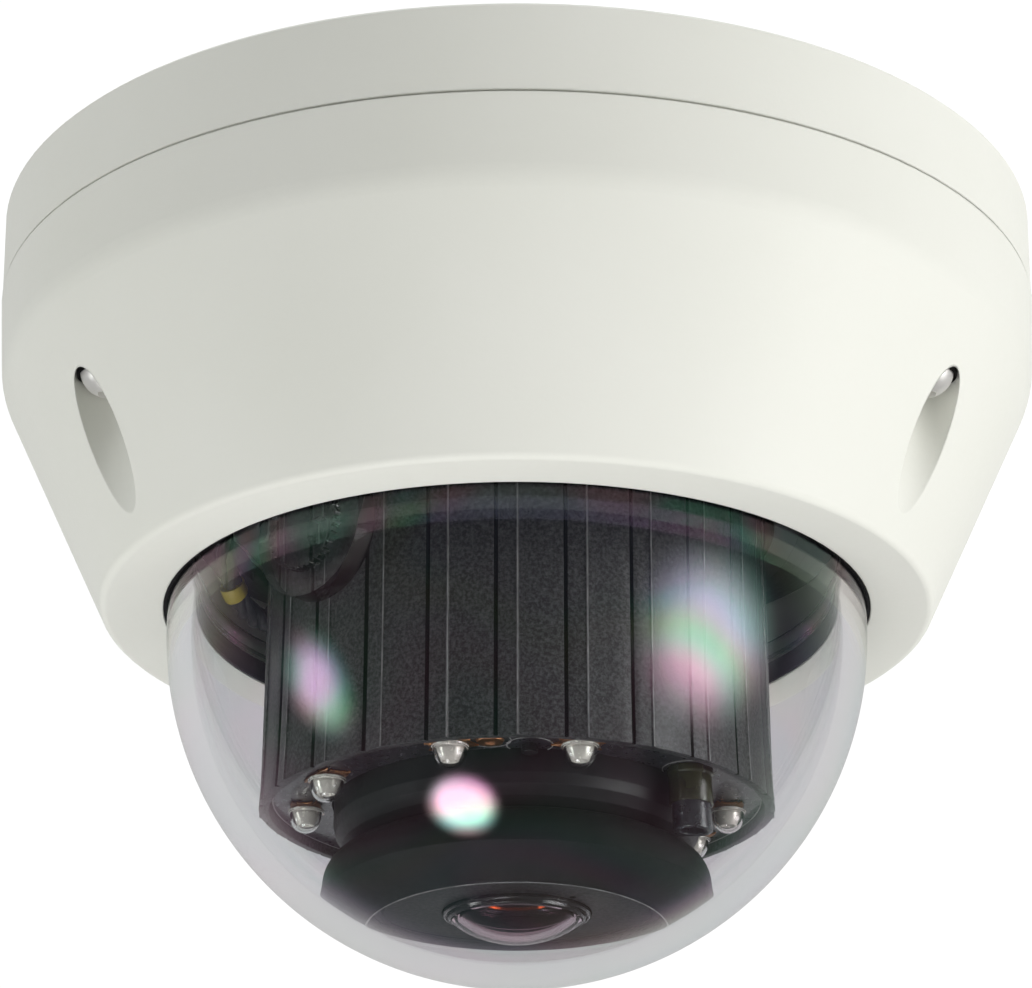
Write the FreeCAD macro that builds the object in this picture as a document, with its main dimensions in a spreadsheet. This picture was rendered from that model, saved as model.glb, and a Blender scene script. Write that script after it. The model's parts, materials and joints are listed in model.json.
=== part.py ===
import FreeCAD, Part
import math
import os
import Sketcher

# Dome surveillance camera for a ceiling, in millimetres.
# The origin is the centre of the ceiling face, +Z points up into the ceiling and -Y is the front.
# Heights are given as "drop": the distance below the ceiling face, so z = -drop.
# Angles around the camera are bearings: 0 at the front, growing towards +X.

doc = FreeCAD.newDocument("dome_camera")
sheet = doc.addObject("Spreadsheet::Sheet", "dims")

DRIVING = [
    ("base_radius", 75.4), ("base_depth", 13.1), ("base_wall", 5.4), ("plate_thick", 3.0),
    ("spigot_radius", 72.0), ("spigot_drop", 17.5), ("edge_chamfer", 0.6),
    ("cover_radius", 75.5), ("cover_top", 13.45), ("cover_bore", 72.6),
    ("crease_radius", 75.0), ("crease_drop", 25.4), ("rim_radius", 59.5), ("rim_drop", 59.5),
    ("inner_crease_drop", 25.9), ("face_drop", 59.3), ("face_thick", 2.0), ("mouth_radius", 50.7),
    ("ledge_radius", 56.6), ("ledge_drop", 53.6), ("crease_round", 8.0), ("rim_round", 1.2),
    ("screw_circle", 65.8), ("screw_bearing", 60.0), ("screw_shank", 2.0), ("screw_head", 3.7),
    ("screw_top", 20.0), ("socket_deep", 2.2), ("seat_drop", 34.2), ("seat_thick", 3.0), ("head_drop", 39.2),
    ("well_radius", 4.5), ("well_wall", 2.0), ("washer_thick", 0.6), ("running_gap", 0.06),
    ("post_radius", 3.4), ("post_drop", 29.5),
    ("dome_radius", 50.11), ("dome_thick", 3.51), ("dome_centre", 62.65), ("flange_radius", 55.5),
    ("flange_top", 53.5), ("flange_thick", 2.5), ("clamp_radius", 58.9), ("clamp_thick", 2.0),
    ("clamp_bore", 50.6), ("clamp_screw_circle", 57.6), ("clamp_shank", 0.9), ("clamp_head", 1.6),
    ("clamp_head_thick", 1.2),
    ("gasket_inner", 72.9), ("gasket_outer", 74.7), ("gasket_deep", 0.8),
    ("mount_circle", 58.0), ("mount_hole", 2.5), ("entry_distance", 57.0), ("entry_radius", 3.5),
    ("grommet_waist", 1.5), ("grommet_flange", 3.1), ("grommet_recess", 0.8),
    ("board_radius", 48.0), ("board_top", 12.0), ("board_thick", 1.6), ("standoff_circle", 38.0),
    ("board_shank", 1.2), ("board_head", 2.4), ("board_head_thick", 1.6), ("standoff_radius", 2.4),
    ("chip_side", 15.0), ("chip_thick", 1.6), ("thermal_thick", 0.8), ("sink_side", 28.0),
    ("sink_base", 2.5), ("sink_drop", 26.0), ("fin_count", 8), ("fin_thick", 1.4), ("fin_pitch", 3.8),
    ("jack_rear", 31.0), ("jack_wide", 16.0), ("jack_deep", 21.0), ("jack_tall", 13.5),
    ("port_wide", 11.8), ("port_deep", 15.0), ("port_sill", 3.0), ("port_tall", 7.6),
    ("terminal_left", 27.0), ("terminal_wide", 8.0), ("terminal_deep", 10.2), ("terminal_tall", 10.0),
    ("terminal_pitch", 5.2), ("terminal_well", 1.5),
    ("can_right", 27.0), ("can_radius", 3.2), ("can_tall", 9.0), ("can_pitch", 8.0),
    ("frame_shank", 1.3), ("frame_head", 2.8), ("frame_head_thick", 1.8),
    ("leg_circle", 47.0), ("leg_radius", 3.2), ("frame_top", 34.0), ("frame_thick", 3.0),
    ("frame_radius", 38.6), ("arm_width", 9.0),
    ("hub_radius", 14.0), ("hub_bore", 9.5), ("hub_top", 31.0), ("clip_lip", 1.4), ("clip_groove", 1.5),
    ("clip_reach", 3.0), ("table_top", 38.5),
    ("table_thick", 2.5), ("table_radius", 34.3),
    ("liner_bore", 37.2), ("liner_drop", 47.5), ("liner_step", 1.5), ("liner_radius", 54.0),
    ("shroud_blank", 36.3), ("shroud_ridge", 36.0), ("shroud_groove", 35.35), ("shroud_bore", 34.4),
    ("shroud_drop", 89.4), ("facet_count", 24), ("facet_split", 10.5),
    ("loop_distance", 42.0), ("loop_bearing", -108.0), ("loop_width", 22.0), ("loop_drop", 53.5),
    ("loop_top", 22.0), ("loop_bend", 5.5), ("wire_radius", 1.9),
    ("plug_side", 6.2), ("plug_near", 2.5), ("harness_mark", 5.0), ("mark_wall", 0.5),
    ("post_size", 2.5), ("sensor_shank", 0.8), ("sensor_head", 1.5), ("sensor_head_thick", 1.3),
    ("chip_wide", 13.0), ("chip_deep", 11.0), ("chip_tall", 1.8),
    ("light_shank", 0.95), ("light_head", 1.9), ("light_head_thick", 1.2), ("light_post", 2.4),
    ("led_board_drop", 87.9), ("led_board_radius", 34.2), ("led_circle", 29.5), ("led_radius", 2.25),
    ("led_tip", 91.6), ("led_base_thick", 1.2), ("led_base_wide", 6.0), ("led_base_deep", 5.0),
    ("barrel_radius", 25.6), ("barrel_drop", 91.0), ("neck_radius", 22.6), ("neck_drop", 95.0),
    ("grip_radius", 21.2), ("grip_drop", 99.4), ("hood_gap", 0.3), ("hood_radius", 26.6),
    ("shoulder_deep", 3.9), ("hood_bore", 20.05), ("sensor_board_drop", 61.6), ("sensor_board_radius", 25.2),
    ("cavity_radius", 22.5), ("cavity_drop", 69.0),
    ("lens_radius", 17.0), ("lens_face_radius", 19.6), ("lens_face_drop", 103.0), ("glass_radius", 9.0),
    ("glass_curve", 16.35), ("glass_tip", 106.9), ("lens_seat", 2.1), ("lens_rim", 10.2),
    ("iris_radius", 3.2),
    ("filter_shift", 9.0), ("window_side", 7.6), ("filter_slack", 0.1), ("filter_deep", 12.0),
    ("filter_thick", 1.8), ("filter_margin", 1.7), ("guide_length", 40.0), ("guide_wide", 2.0),
    ("coil_radius", 2.6), ("coil_rear", 13.0),
    ("sensor_circle", 29.0), ("sensor_bearing", 53.5), ("sensor_collar", 3.1), ("sensor_tube", 2.55),
    ("collar_drop", 92.9), ("tube_drop", 96.4), ("mic_circle", 27.2), ("mic_bearing", 3.6),
    ("mic_radius", 1.1),
    ("knob_bearing", -43.0), ("knob_drop", 58.0), ("knob_radius", 9.5), ("knob_face", 38.0),
    ("knob_thick", 3.0), ("knob_boss", 6.2), ("knob_boss_thick", 1.2), ("knob_teeth", 36),
    ("notch_deep", 0.45), ("notch_wide", 0.5),
]


class Size:
    """A dimension that carries its number and the spreadsheet expression that gives it."""

    def __init__(self, number, text):
        self.number = float(number)
        self.text = text

    def joined(self, other, sign, number, swapped=False):
        first, second = self.text, text_of(other)
        if swapped:
            first, second = second, first
        return Size(number, "(%s %s %s)" % (first, sign, second))

    def __add__(self, other):
        return self.joined(other, "+", self.number + number_of(other))

    def __radd__(self, other):
        return self.joined(other, "+", number_of(other) + self.number, True)

    def __sub__(self, other):
        return self.joined(other, "-", self.number - number_of(other))

    def __rsub__(self, other):
        return self.joined(other, "-", number_of(other) - self.number, True)

    def __mul__(self, other):
        return self.joined(other, "*", self.number * number_of(other))

    def __rmul__(self, other):
        return self.joined(other, "*", number_of(other) * self.number, True)

    def __truediv__(self, other):
        return self.joined(other, "/", self.number / number_of(other))

    def __rtruediv__(self, other):
        return self.joined(other, "/", number_of(other) / self.number, True)

    def __neg__(self):
        return Size(-self.number, "(0 - %s)" % self.text)


def number_of(value):
    return value.number if isinstance(value, Size) else float(value)


def text_of(value):
    if isinstance(value, Size):
        return value.text
    return "%.6f" % value if value >= 0.0 else "(0 - %.6f)" % -value


def sine(bearing):
    return Size(math.sin(math.radians(number_of(bearing))), "sin(%s)" % text_of(bearing))


def cosine(bearing):
    return Size(math.cos(math.radians(number_of(bearing))), "cos(%s)" % text_of(bearing))


def root(value):
    return Size(math.sqrt(number_of(value)), "sqrt(%s)" % text_of(value))


def read_sheet():
    sizes = {}
    for row, (name, value) in enumerate(DRIVING, start=1):
        sheet.set("A%d" % row, name)
        sheet.set("B%d" % row, str(value))
        sheet.setAlias("B%d" % row, name)
        sizes[name] = Size(value, "dims." + name)
    doc.recompute()
    return sizes


D = read_sheet()
FLIP = FreeCAD.Placement(FreeCAD.Vector(0, 0, 0), FreeCAD.Rotation(FreeCAD.Vector(1, 0, 0), 180))
NODES = []
COUNTER = [0]


def fresh(prefix):
    COUNTER[0] += 1
    return "%s_%03d" % (prefix, COUNTER[0])


def bind(item, prop, value):
    item.setExpression(prop, text_of(value))


def node(item, label):
    """Mark an object as one finished piece of the camera."""
    item.Label = label
    NODES.append(item)
    return item


def around(circle, bearing):
    """The x and y of a point on a circle about the camera's axis."""
    return circle * sine(bearing), -(circle * cosine(bearing))


def put(item, x, y, z):
    bind(item, "Placement.Base.x", x)
    bind(item, "Placement.Base.y", y)
    bind(item, "Placement.Base.z", z)


def rod(radius, top, bottom, x=0.0, y=0.0):
    """An upright cylinder between two drops."""
    item = doc.addObject("Part::Cylinder", fresh("rod"))
    bind(item, "Radius", radius)
    bind(item, "Height", bottom - top)
    put(item, x, y, -1.0 * bottom)
    return item


def small_screw(kind, tip, seat, x, y):
    """A screw of one kind from its tip to the seat under its head, which lies beyond the seat."""
    shank = D[kind + "_shank"]
    head = D[kind + "_head"]
    thick = D[kind + "_head_thick"]
    if number_of(tip) < number_of(seat):
        return joined([rod(shank, tip, seat, x, y), rod(head, seat, seat + thick, x, y)])
    return joined([rod(shank, seat, tip, x, y), rod(head, seat - thick, seat, x, y)])


def block(wide, deep, top, bottom, x=0.0, y=0.0):
    """An upright box centred on x, y between two drops."""
    item = doc.addObject("Part::Box", fresh("block"))
    bind(item, "Length", wide)
    bind(item, "Width", deep)
    bind(item, "Height", bottom - top)
    put(item, x - wide / 2.0, y - deep / 2.0, -1.0 * bottom)
    return item


def radial_block(near, far, wide, top, bottom, bearing, aside=0.0):
    """A box that reaches outward from the axis along a bearing, moved sideways by aside."""
    item = doc.addObject("Part::Box", fresh("radial"))
    bind(item, "Length", far - near)
    bind(item, "Width", wide)
    bind(item, "Height", bottom - top)
    turn = FreeCAD.Rotation(FreeCAD.Vector(0, 0, 1), number_of(bearing) - 90.0)
    item.Placement = FreeCAD.Placement(FreeCAD.Vector(0, 0, 0), turn)
    across = aside - wide / 2.0
    x = near * sine(bearing) + across * cosine(bearing)
    y = across * sine(bearing) - near * cosine(bearing)
    put(item, x, y, -1.0 * bottom)
    return item


def ball(radius, drop, x=0.0, y=0.0):
    item = doc.addObject("Part::Sphere", fresh("ball"))
    bind(item, "Radius", radius)
    put(item, x, y, -1.0 * drop)
    return item


def joined(items):
    item = doc.addObject("Part::MultiFuse", fresh("joined"))
    item.Shapes = items
    return item


def group(items):
    item = doc.addObject("Part::Compound", fresh("group"))
    item.Links = items
    return item


def cut(base, tools):
    item = doc.addObject("Part::Cut", fresh("cut"))
    item.Base = base
    item.Tool = tools[0] if len(tools) == 1 else group(tools)
    return item


def common(first, second):
    item = doc.addObject("Part::MultiCommon", fresh("common"))
    item.Shapes = [first, second]
    return item


def plane_of(body, role):
    for feature in body.Origin.OriginFeatures:
        if feature.Role == role:
            return feature
    raise ValueError("no origin plane " + role)


def sketch_on(body, role, lift=None):
    sketch = body.newObject("Sketcher::SketchObject", fresh("sketch"))
    sketch.AttachmentSupport = [(plane_of(body, role), "")]
    sketch.MapMode = "FlatFace"
    if lift is not None:
        sketch.setExpression("AttachmentOffset.Base.z", text_of(lift))
    return sketch


def pin_point(sketch, edge, end, x, y):
    """Hold one end of an edge at x, y measured from the sketch origin."""
    if number_of(x) == 0.0:
        sketch.addConstraint(Sketcher.Constraint("PointOnObject", edge, end, -2))
    else:
        place = sketch.addConstraint(Sketcher.Constraint("DistanceX", edge, end, number_of(x)))
        sketch.setExpression("Constraints[%d]" % place, text_of(x))
    if number_of(y) == 0.0:
        sketch.addConstraint(Sketcher.Constraint("PointOnObject", edge, end, -1))
    else:
        place = sketch.addConstraint(Sketcher.Constraint("DistanceY", edge, end, number_of(y)))
        sketch.setExpression("Constraints[%d]" % place, text_of(y))


def outline(sketch, points):
    """A closed chain of straight edges through the points."""
    vectors = [FreeCAD.Vector(number_of(x), number_of(y), 0) for x, y in points]
    count = len(points)
    for index in range(count):
        sketch.addGeometry(Part.LineSegment(vectors[index], vectors[(index + 1) % count]), False)
    for index in range(count):
        sketch.addConstraint(Sketcher.Constraint("Coincident", index, 2, (index + 1) % count, 1))
    for index, (x, y) in enumerate(points):
        pin_point(sketch, index, 1, x, y)


def rectangle(sketch, left, right, low, high):
    """A four-sided outline held by its distances from the sketch axes."""
    corners = [(left, low), (right, low), (right, high), (left, high)]
    vectors = [FreeCAD.Vector(number_of(x), number_of(y), 0) for x, y in corners]
    for index in range(4):
        sketch.addGeometry(Part.LineSegment(vectors[index], vectors[(index + 1) % 4]), False)
    for index in range(4):
        sketch.addConstraint(Sketcher.Constraint("Coincident", index, 2, (index + 1) % 4, 1))
    for index in (0, 2):
        sketch.addConstraint(Sketcher.Constraint("Horizontal", index))
    for index in (1, 3):
        sketch.addConstraint(Sketcher.Constraint("Vertical", index))
    for kind, corner, value in (("DistanceX", 0, left), ("DistanceY", 0, low),
                                ("DistanceX", 2, right), ("DistanceY", 2, high)):
        place = sketch.addConstraint(Sketcher.Constraint(kind, corner, 1, number_of(value)))
        sketch.setExpression("Constraints[%d]" % place, text_of(value))


def ring_sketch(sketch, radius, inner=None):
    for size in [radius] if inner is None else [radius, inner]:
        circle = Part.Circle(FreeCAD.Vector(0, 0, 0), FreeCAD.Vector(0, 0, 1), number_of(size))
        edge = sketch.addGeometry(circle, False)
        sketch.addConstraint(Sketcher.Constraint("Coincident", edge, 3, -1, 1))
        place = sketch.addConstraint(Sketcher.Constraint("Radius", edge, number_of(size)))
        sketch.setExpression("Constraints[%d]" % place, text_of(size))


def new_body():
    body = doc.addObject("PartDesign::Body", fresh("body"))
    body.Placement = FLIP
    return body


def turned(points, x=0.0, y=0.0):
    """A body turned about an upright axis from a chain of (radius, drop) points."""
    body = new_body()
    sketch = sketch_on(body, "XZ_Plane")
    outline(sketch, points)
    turn = body.newObject("PartDesign::Revolution", fresh("turn"))
    turn.Profile = sketch
    turn.ReferenceAxis = (sketch, ["V_Axis"])
    turn.Angle = 360
    if number_of(x) or number_of(y):
        bind(body, "Placement.Base.x", x)
        bind(body, "Placement.Base.y", y)
    return body


def ring(inner, outer, top, bottom, x=0.0, y=0.0):
    return turned([(inner, top), (outer, top), (outer, bottom), (inner, bottom)], x, y)


def pad(body, sketch, length, reverse=False):
    feature = body.newObject("PartDesign::Pad", fresh("pad"))
    feature.Profile = sketch
    bind(feature, "Length", length)
    feature.Reversed = reverse
    return feature


def polar(body, feature, count):
    """Repeat a feature in equal steps all round the body's Z axis."""
    pattern = body.newObject("PartDesign::PolarPattern", fresh("pattern"))
    pattern.Originals = [feature]
    pattern.Axis = (plane_of(body, "Z_Axis"), [""])
    pattern.Angle = 360
    pattern.Occurrences = int(number_of(count))
    body.Tip = pattern
    return pattern


def round_edge(body, base, size, radius, drop):
    """Round the circular edge of the body that has this radius at this drop."""
    doc.recompute()
    names = []
    for index, edge in enumerate(base.Shape.Edges, start=1):
        if not isinstance(edge.Curve, Part.Circle):
            continue
        same_radius = abs(edge.Curve.Radius - number_of(radius)) < 0.01
        same_drop = abs(edge.Curve.Center.z - number_of(drop)) < 0.01
        if same_radius and same_drop:
            names.append("Edge%d" % index)
    feature = body.newObject("PartDesign::Fillet", fresh("round"))
    feature.Base = (base, names)
    bind(feature, "Radius", size)
    body.Tip = feature
    return feature


SCREW_BEARINGS = [-1.0 * D["screw_bearing"], D["screw_bearing"], 180.0]
SCREW_NAMES = ["screw_left", "screw_right", "screw_rear"]
LEG_BEARINGS = [-30.0, 90.0, -150.0]
CORNER_BEARINGS = [45.0, 135.0, -135.0, -45.0]
SQUARE_BEARINGS = [0.0, 90.0, 180.0, -90.0]
CLAMP_BEARINGS = [30.0 + 60.0 * step for step in range(6)]
LED_BEARINGS = [-17.5, 16.5, -60.5, -90.0, 90.0, 119.5, 163.0, -163.0]
LED_SCREW_BEARINGS = [-7.0, 173.0]
BOARD_BOTTOM = D["board_top"] + D["board_thick"]
TABLE_BOTTOM = D["table_top"] + D["table_thick"]
PLATE_TOP = D["face_drop"] - D["face_thick"]
WALL_MIDDLE = (D["cavity_radius"] + D["barrel_radius"]) / 2.0
SENSOR_THREAD = 4.0
SHANK_HOLE = D["screw_shank"] + D["running_gap"]
PAST = 1.0      # how far a cutting tool runs past the face that it cuts
CLEAR = 0.05    # the gap round a piece that sits still in a recess
SLIP = 0.2      # the gap round a piece that is dropped in by hand


def build_mounting_base():
    lip = D["base_radius"] - D["edge_chamfer"]
    groove_top = D["base_depth"] - D["gasket_deep"]
    inside = D["base_radius"] - D["base_wall"]
    foot = D["post_radius"] + 1.0
    cup = turned([
        (0.0, 0.0), (lip, 0.0), (D["base_radius"], D["edge_chamfer"]), (D["base_radius"], D["base_depth"]),
        (D["gasket_outer"], D["base_depth"]), (D["gasket_outer"], groove_top),
        (D["gasket_inner"], groove_top), (D["gasket_inner"], D["base_depth"]),
        (D["spigot_radius"], D["base_depth"]), (D["spigot_radius"], D["spigot_drop"]),
        (inside, D["spigot_drop"]), (inside, D["plate_thick"]), (0.0, D["plate_thick"]),
    ])
    solids = [cup]
    holes = []
    for bearing in SCREW_BEARINGS:
        x, y = around(D["screw_circle"], bearing)
        solids.append(rod(foot, D["plate_thick"] - PAST, D["spigot_drop"], x, y))
        solids.append(rod(D["post_radius"], D["plate_thick"], D["post_drop"], x, y))
        holes.append(rod(SHANK_HOLE, D["screw_top"] - 2.0 * PAST, D["post_drop"] + PAST, x, y))
    plate_cut = D["plate_thick"] + PAST
    for bearing in CORNER_BEARINGS:
        x, y = around(D["mount_circle"], bearing)
        holes.append(rod(D["mount_hole"], -PAST, plate_cut, x, y))
    entry_x = -D["entry_distance"]
    holes.append(rod(D["entry_radius"] + D["grommet_waist"], -PAST, plate_cut, entry_x))
    holes.append(rod(D["entry_radius"] + D["grommet_flange"], -PAST, D["grommet_recess"], entry_x))
    node(cut(joined(solids), holes), "mounting_base")


def build_base_seals():
    inner = D["entry_radius"]
    flange = D["entry_radius"] + D["grommet_flange"] - 2.0 * CLEAR
    waist = D["entry_radius"] + D["grommet_waist"] - CLEAR
    recess = D["grommet_recess"] - CLEAR
    inside = D["plate_thick"] + CLEAR
    low_end = D["plate_thick"] + 2.0
    grommet = turned([
        (inner, CLEAR), (flange, CLEAR), (flange, recess), (waist, recess), (waist, inside),
        (flange, inside), (flange, low_end), (inner, low_end),
    ], -D["entry_distance"])
    node(grommet, "cable_grommet")
    gasket = ring(D["gasket_inner"] + CLEAR, D["gasket_outer"] - CLEAR, D["base_depth"] - D["gasket_deep"],
                  D["cover_top"] - CLEAR)
    node(gasket, "cover_gasket")


def build_main_board():
    board_cut = D["board_top"] - PAST
    below = BOARD_BOTTOM + PAST
    holes = []
    for bearing in LEG_BEARINGS:
        x, y = around(D["leg_circle"], bearing)
        holes.append(rod(D["leg_radius"] + 3.0 * SLIP, board_cut, below, x, y))
    posts = []
    post_holes = []
    screws = []
    for bearing in CORNER_BEARINGS:
        x, y = around(D["standoff_circle"], bearing)
        tip = D["board_top"] - 5.0
        holes.append(rod(D["board_shank"] + SLIP, board_cut, below, x, y))
        posts.append(rod(D["standoff_radius"], D["plate_thick"], D["board_top"], x, y))
        post_holes.append(rod(D["board_shank"] + CLEAR, tip - PAST, D["board_top"] + PAST, x, y))
        screws.append(small_screw("board", tip, BOARD_BOTTOM, x, y))
    node(cut(rod(D["board_radius"], D["board_top"], BOARD_BOTTOM), holes), "main_board")
    node(cut(group(posts), post_holes), "board_standoffs")
    node(group(screws), "board_screws")


def build_heat_path():
    """The processor, the soft pad on it and the finned heat sink below them."""
    chip_drop = BOARD_BOTTOM + D["chip_thick"]
    pad_drop = chip_drop + D["thermal_thick"]
    node(block(D["chip_side"], D["chip_side"], BOARD_BOTTOM, chip_drop), "processor")
    node(block(D["chip_side"], D["chip_side"], chip_drop, pad_drop), "thermal_pad")

    sink = new_body()
    half = D["sink_side"] / 2.0
    base_sketch = sketch_on(sink, "XY_Plane", pad_drop)
    rectangle(base_sketch, -half, half, -half, half)
    pad(sink, base_sketch, D["sink_base"])
    fin_top = pad_drop + D["sink_base"]
    fin_sketch = sketch_on(sink, "XY_Plane", fin_top)
    rectangle(fin_sketch, -half, half, -half, D["fin_thick"] - half)
    fin = pad(sink, fin_sketch, D["sink_drop"] - fin_top)
    fins = sink.newObject("PartDesign::LinearPattern", fresh("fins"))
    fins.Originals = [fin]
    fins.Direction = (plane_of(sink, "Y_Axis"), [""])
    fins.Occurrences = int(number_of(D["fin_count"]))
    bind(fins, "Length", (D["fin_count"] - 1.0) * D["fin_pitch"])
    sink.Tip = fins
    node(sink, "heat_sink")


def build_board_parts():
    """The network jack, the power terminal and a row of capacitors."""
    jack = block(D["jack_wide"], D["jack_deep"], BOARD_BOTTOM, BOARD_BOTTOM + D["jack_tall"],
                 0.0, D["jack_rear"])
    port_middle = D["jack_rear"] + D["jack_deep"] / 2.0 + PAST - D["port_deep"] / 2.0
    port_top = BOARD_BOTTOM + D["port_sill"]
    port = block(D["port_wide"], D["port_deep"], port_top, port_top + D["port_tall"], 0.0, port_middle)
    node(cut(jack, [port]), "network_jack")

    terminal_x = -D["terminal_left"]
    terminal_drop = BOARD_BOTTOM + D["terminal_tall"]
    terminal = block(D["terminal_wide"], D["terminal_deep"], BOARD_BOTTOM, terminal_drop, terminal_x)
    wells = []
    for side in (-0.5, 0.5):
        wells.append(rod(D["terminal_well"], terminal_drop - 6.0, terminal_drop + PAST, terminal_x,
                         side * D["terminal_pitch"]))
    node(cut(terminal, wells), "power_terminal")

    cans = []
    for place in (-1.0, 0.0, 1.0):
        cans.append(rod(D["can_radius"], BOARD_BOTTOM, BOARD_BOTTOM + D["can_tall"], D["can_right"],
                        place * D["can_pitch"]))
    node(group(cans), "capacitors")


def build_support_frame():
    bottom = D["frame_top"] + D["frame_thick"]
    ear = D["arm_width"] / 2.0 + 0.5
    solids = [ring(D["hub_radius"] + D["running_gap"], D["frame_radius"], D["frame_top"], bottom)]
    holes = []
    legs = []
    leg_holes = []
    screws = []
    for bearing in LEG_BEARINGS:
        x, y = around(D["leg_circle"], bearing)
        tip = D["frame_top"] - 7.0
        solids.append(radial_block(D["frame_radius"] - 3.0, D["leg_circle"], D["arm_width"],
                                   D["frame_top"], bottom, bearing))
        solids.append(rod(ear, D["frame_top"], bottom, x, y))
        holes.append(rod(D["frame_shank"] + 2.0 * CLEAR, D["frame_top"] - PAST, bottom + PAST, x, y))
        legs.append(rod(D["leg_radius"], D["plate_thick"], D["frame_top"], x, y))
        leg_holes.append(rod(D["frame_shank"] + CLEAR, tip - PAST, D["frame_top"] + PAST, x, y))
        screws.append(small_screw("frame", tip, bottom, x, y))
    node(cut(joined(solids), holes), "support_frame")
    node(cut(group(legs), leg_holes), "frame_legs")
    node(group(screws), "frame_screws")


def build_inner_liner():
    """A black baffle whose underside rises outward in three steps."""
    step = D["liner_step"]
    drop = D["liner_drop"]
    bore = D["liner_bore"]
    frame_under = D["frame_top"] + D["frame_thick"]
    first = bore + 3.8
    second = first + 4.0
    third = second + 4.5
    baffle = turned([
        (bore, frame_under), (bore, drop), (first, drop), (first, drop - step), (second, drop - step),
        (second, drop - 2.0 * step), (third, drop - 2.0 * step), (third, drop - 3.0 * step),
        (D["liner_radius"], drop - 3.0 * step), (D["liner_radius"], drop - 4.0 * step),
        (third - step, drop - 4.0 * step), (third - step, drop - 3.0 * step),
        (second - step, drop - 3.0 * step), (second - step, drop - 2.0 * step),
        (first - step, drop - 2.0 * step), (first - step, drop - step),
        (bore + step, drop - step), (bore + step, frame_under),
    ])
    wire_room = D["wire_radius"] + 0.7
    slot = radial_block(D["loop_distance"] - wire_room, D["loop_distance"] + wire_room,
                        D["loop_width"] + 2.0 * wire_room, frame_under, drop + 1.0, D["loop_bearing"])
    node(cut(baffle, [slot]), "inner_liner")


def build_harness():
    """A sleeved wire bundle that hangs in one U below the baffle and ends in two plugs."""
    body = doc.addObject("PartDesign::Body", fresh("body"))
    path = sketch_on(body, "XZ_Plane")
    width = D["loop_width"]
    bend = D["loop_bend"]
    low = D["loop_drop"]
    runs = [
        ((0.0, D["loop_top"]), (0.0, low - bend)),
        ((bend, low), (width - bend, low)),
        ((width, low - bend), (width, D["loop_top"])),
    ]
    for start, end in runs:
        first = FreeCAD.Vector(number_of(start[0]), number_of(start[1]), 0)
        second = FreeCAD.Vector(number_of(end[0]), number_of(end[1]), 0)
        line = path.addGeometry(Part.LineSegment(first, second), False)
        pin_point(path, line, 1, *start)
        pin_point(path, line, 2, *end)
    size = number_of(bend)
    high = number_of(low) - size
    # Each corner is a tangent arc between the flat run, which is edge 1, and an upright one.
    corners = [(size, math.pi / 2.0, 0, 1, 2), (number_of(width) - size, 0.0, 2, 2, 1)]
    for centre_x, turn, upright, flat_end, upright_end in corners:
        circle = Part.Circle(FreeCAD.Vector(centre_x, high, 0), FreeCAD.Vector(0, 0, 1), size)
        arc = path.addGeometry(Part.ArcOfCircle(circle, turn, turn + math.pi / 2.0), False)
        path.addConstraint(Sketcher.Constraint("Coincident", arc, flat_end, 1, flat_end))
        path.addConstraint(Sketcher.Constraint("Tangent", arc, upright_end, upright, upright_end))
    section = sketch_on(body, "XY_Plane", D["loop_top"])
    ring_sketch(section, D["wire_radius"])
    pipe = body.newObject("PartDesign::AdditivePipe", fresh("pipe"))
    pipe.Profile = section
    doc.recompute()
    pipe.Spine = (path, ["Edge%d" % (index + 1) for index in range(len(path.Shape.Edges))])

    # The body's X runs along the tangent, its Z hangs down and its Y points outward.
    bearing = D["loop_bearing"]
    angle = math.radians(number_of(bearing))
    outward = FreeCAD.Vector(math.sin(angle), -math.cos(angle), 0)
    down = FreeCAD.Vector(0, 0, -1)
    tangent = outward.cross(down)
    onward = FreeCAD.Vector(-outward.y, outward.x, 0)
    turn = FreeCAD.Rotation(tangent, outward, down, "XYZ")
    body.Placement = FreeCAD.Placement(FreeCAD.Vector(0, 0, 0), turn)
    side = 1.0 if tangent.dot(onward) > 0 else -1.0

    def along_loop(item, aside, drop):
        """Put a piece at the loop's distance, moved sideways from its bearing."""
        put(item, D["loop_distance"] * sine(bearing) + aside * cosine(bearing),
            aside * sine(bearing) - D["loop_distance"] * cosine(bearing), -1.0 * drop)

    along_loop(body, -side * width / 2.0, 0.0)
    node(body, "harness_loop")

    # The coloured mark is a short tube at the end of the flat run nearest the front.
    mark_end = width / 2.0 - bend
    marks = []
    bore = D["wire_radius"] + CLEAR
    for radius, extra in ((bore + D["mark_wall"], 0.0), (bore, PAST)):
        item = doc.addObject("Part::Cylinder", fresh("mark"))
        bind(item, "Radius", radius)
        bind(item, "Height", D["harness_mark"] + 2.0 * extra)
        item.Placement = FreeCAD.Placement(FreeCAD.Vector(0, 0, 0),
                                           FreeCAD.Rotation(FreeCAD.Vector(0, 0, 1), onward))
        along_loop(item, mark_end - D["harness_mark"] - extra, low)
        marks.append(item)
    node(cut(marks[0], [marks[1]]), "harness_sleeve")

    plugs = []
    for share in (-0.5, 0.5):
        plugs.append(radial_block(D["loop_distance"] - D["plug_near"], D["loop_distance"] + D["plug_near"],
                                  D["plug_side"], BOARD_BOTTOM, D["loop_top"], bearing, share * width))
    node(group(plugs), "harness_plugs")


def cone_slope():
    return (D["crease_radius"] - D["rim_radius"]) / (D["rim_drop"] - D["crease_drop"])


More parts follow.
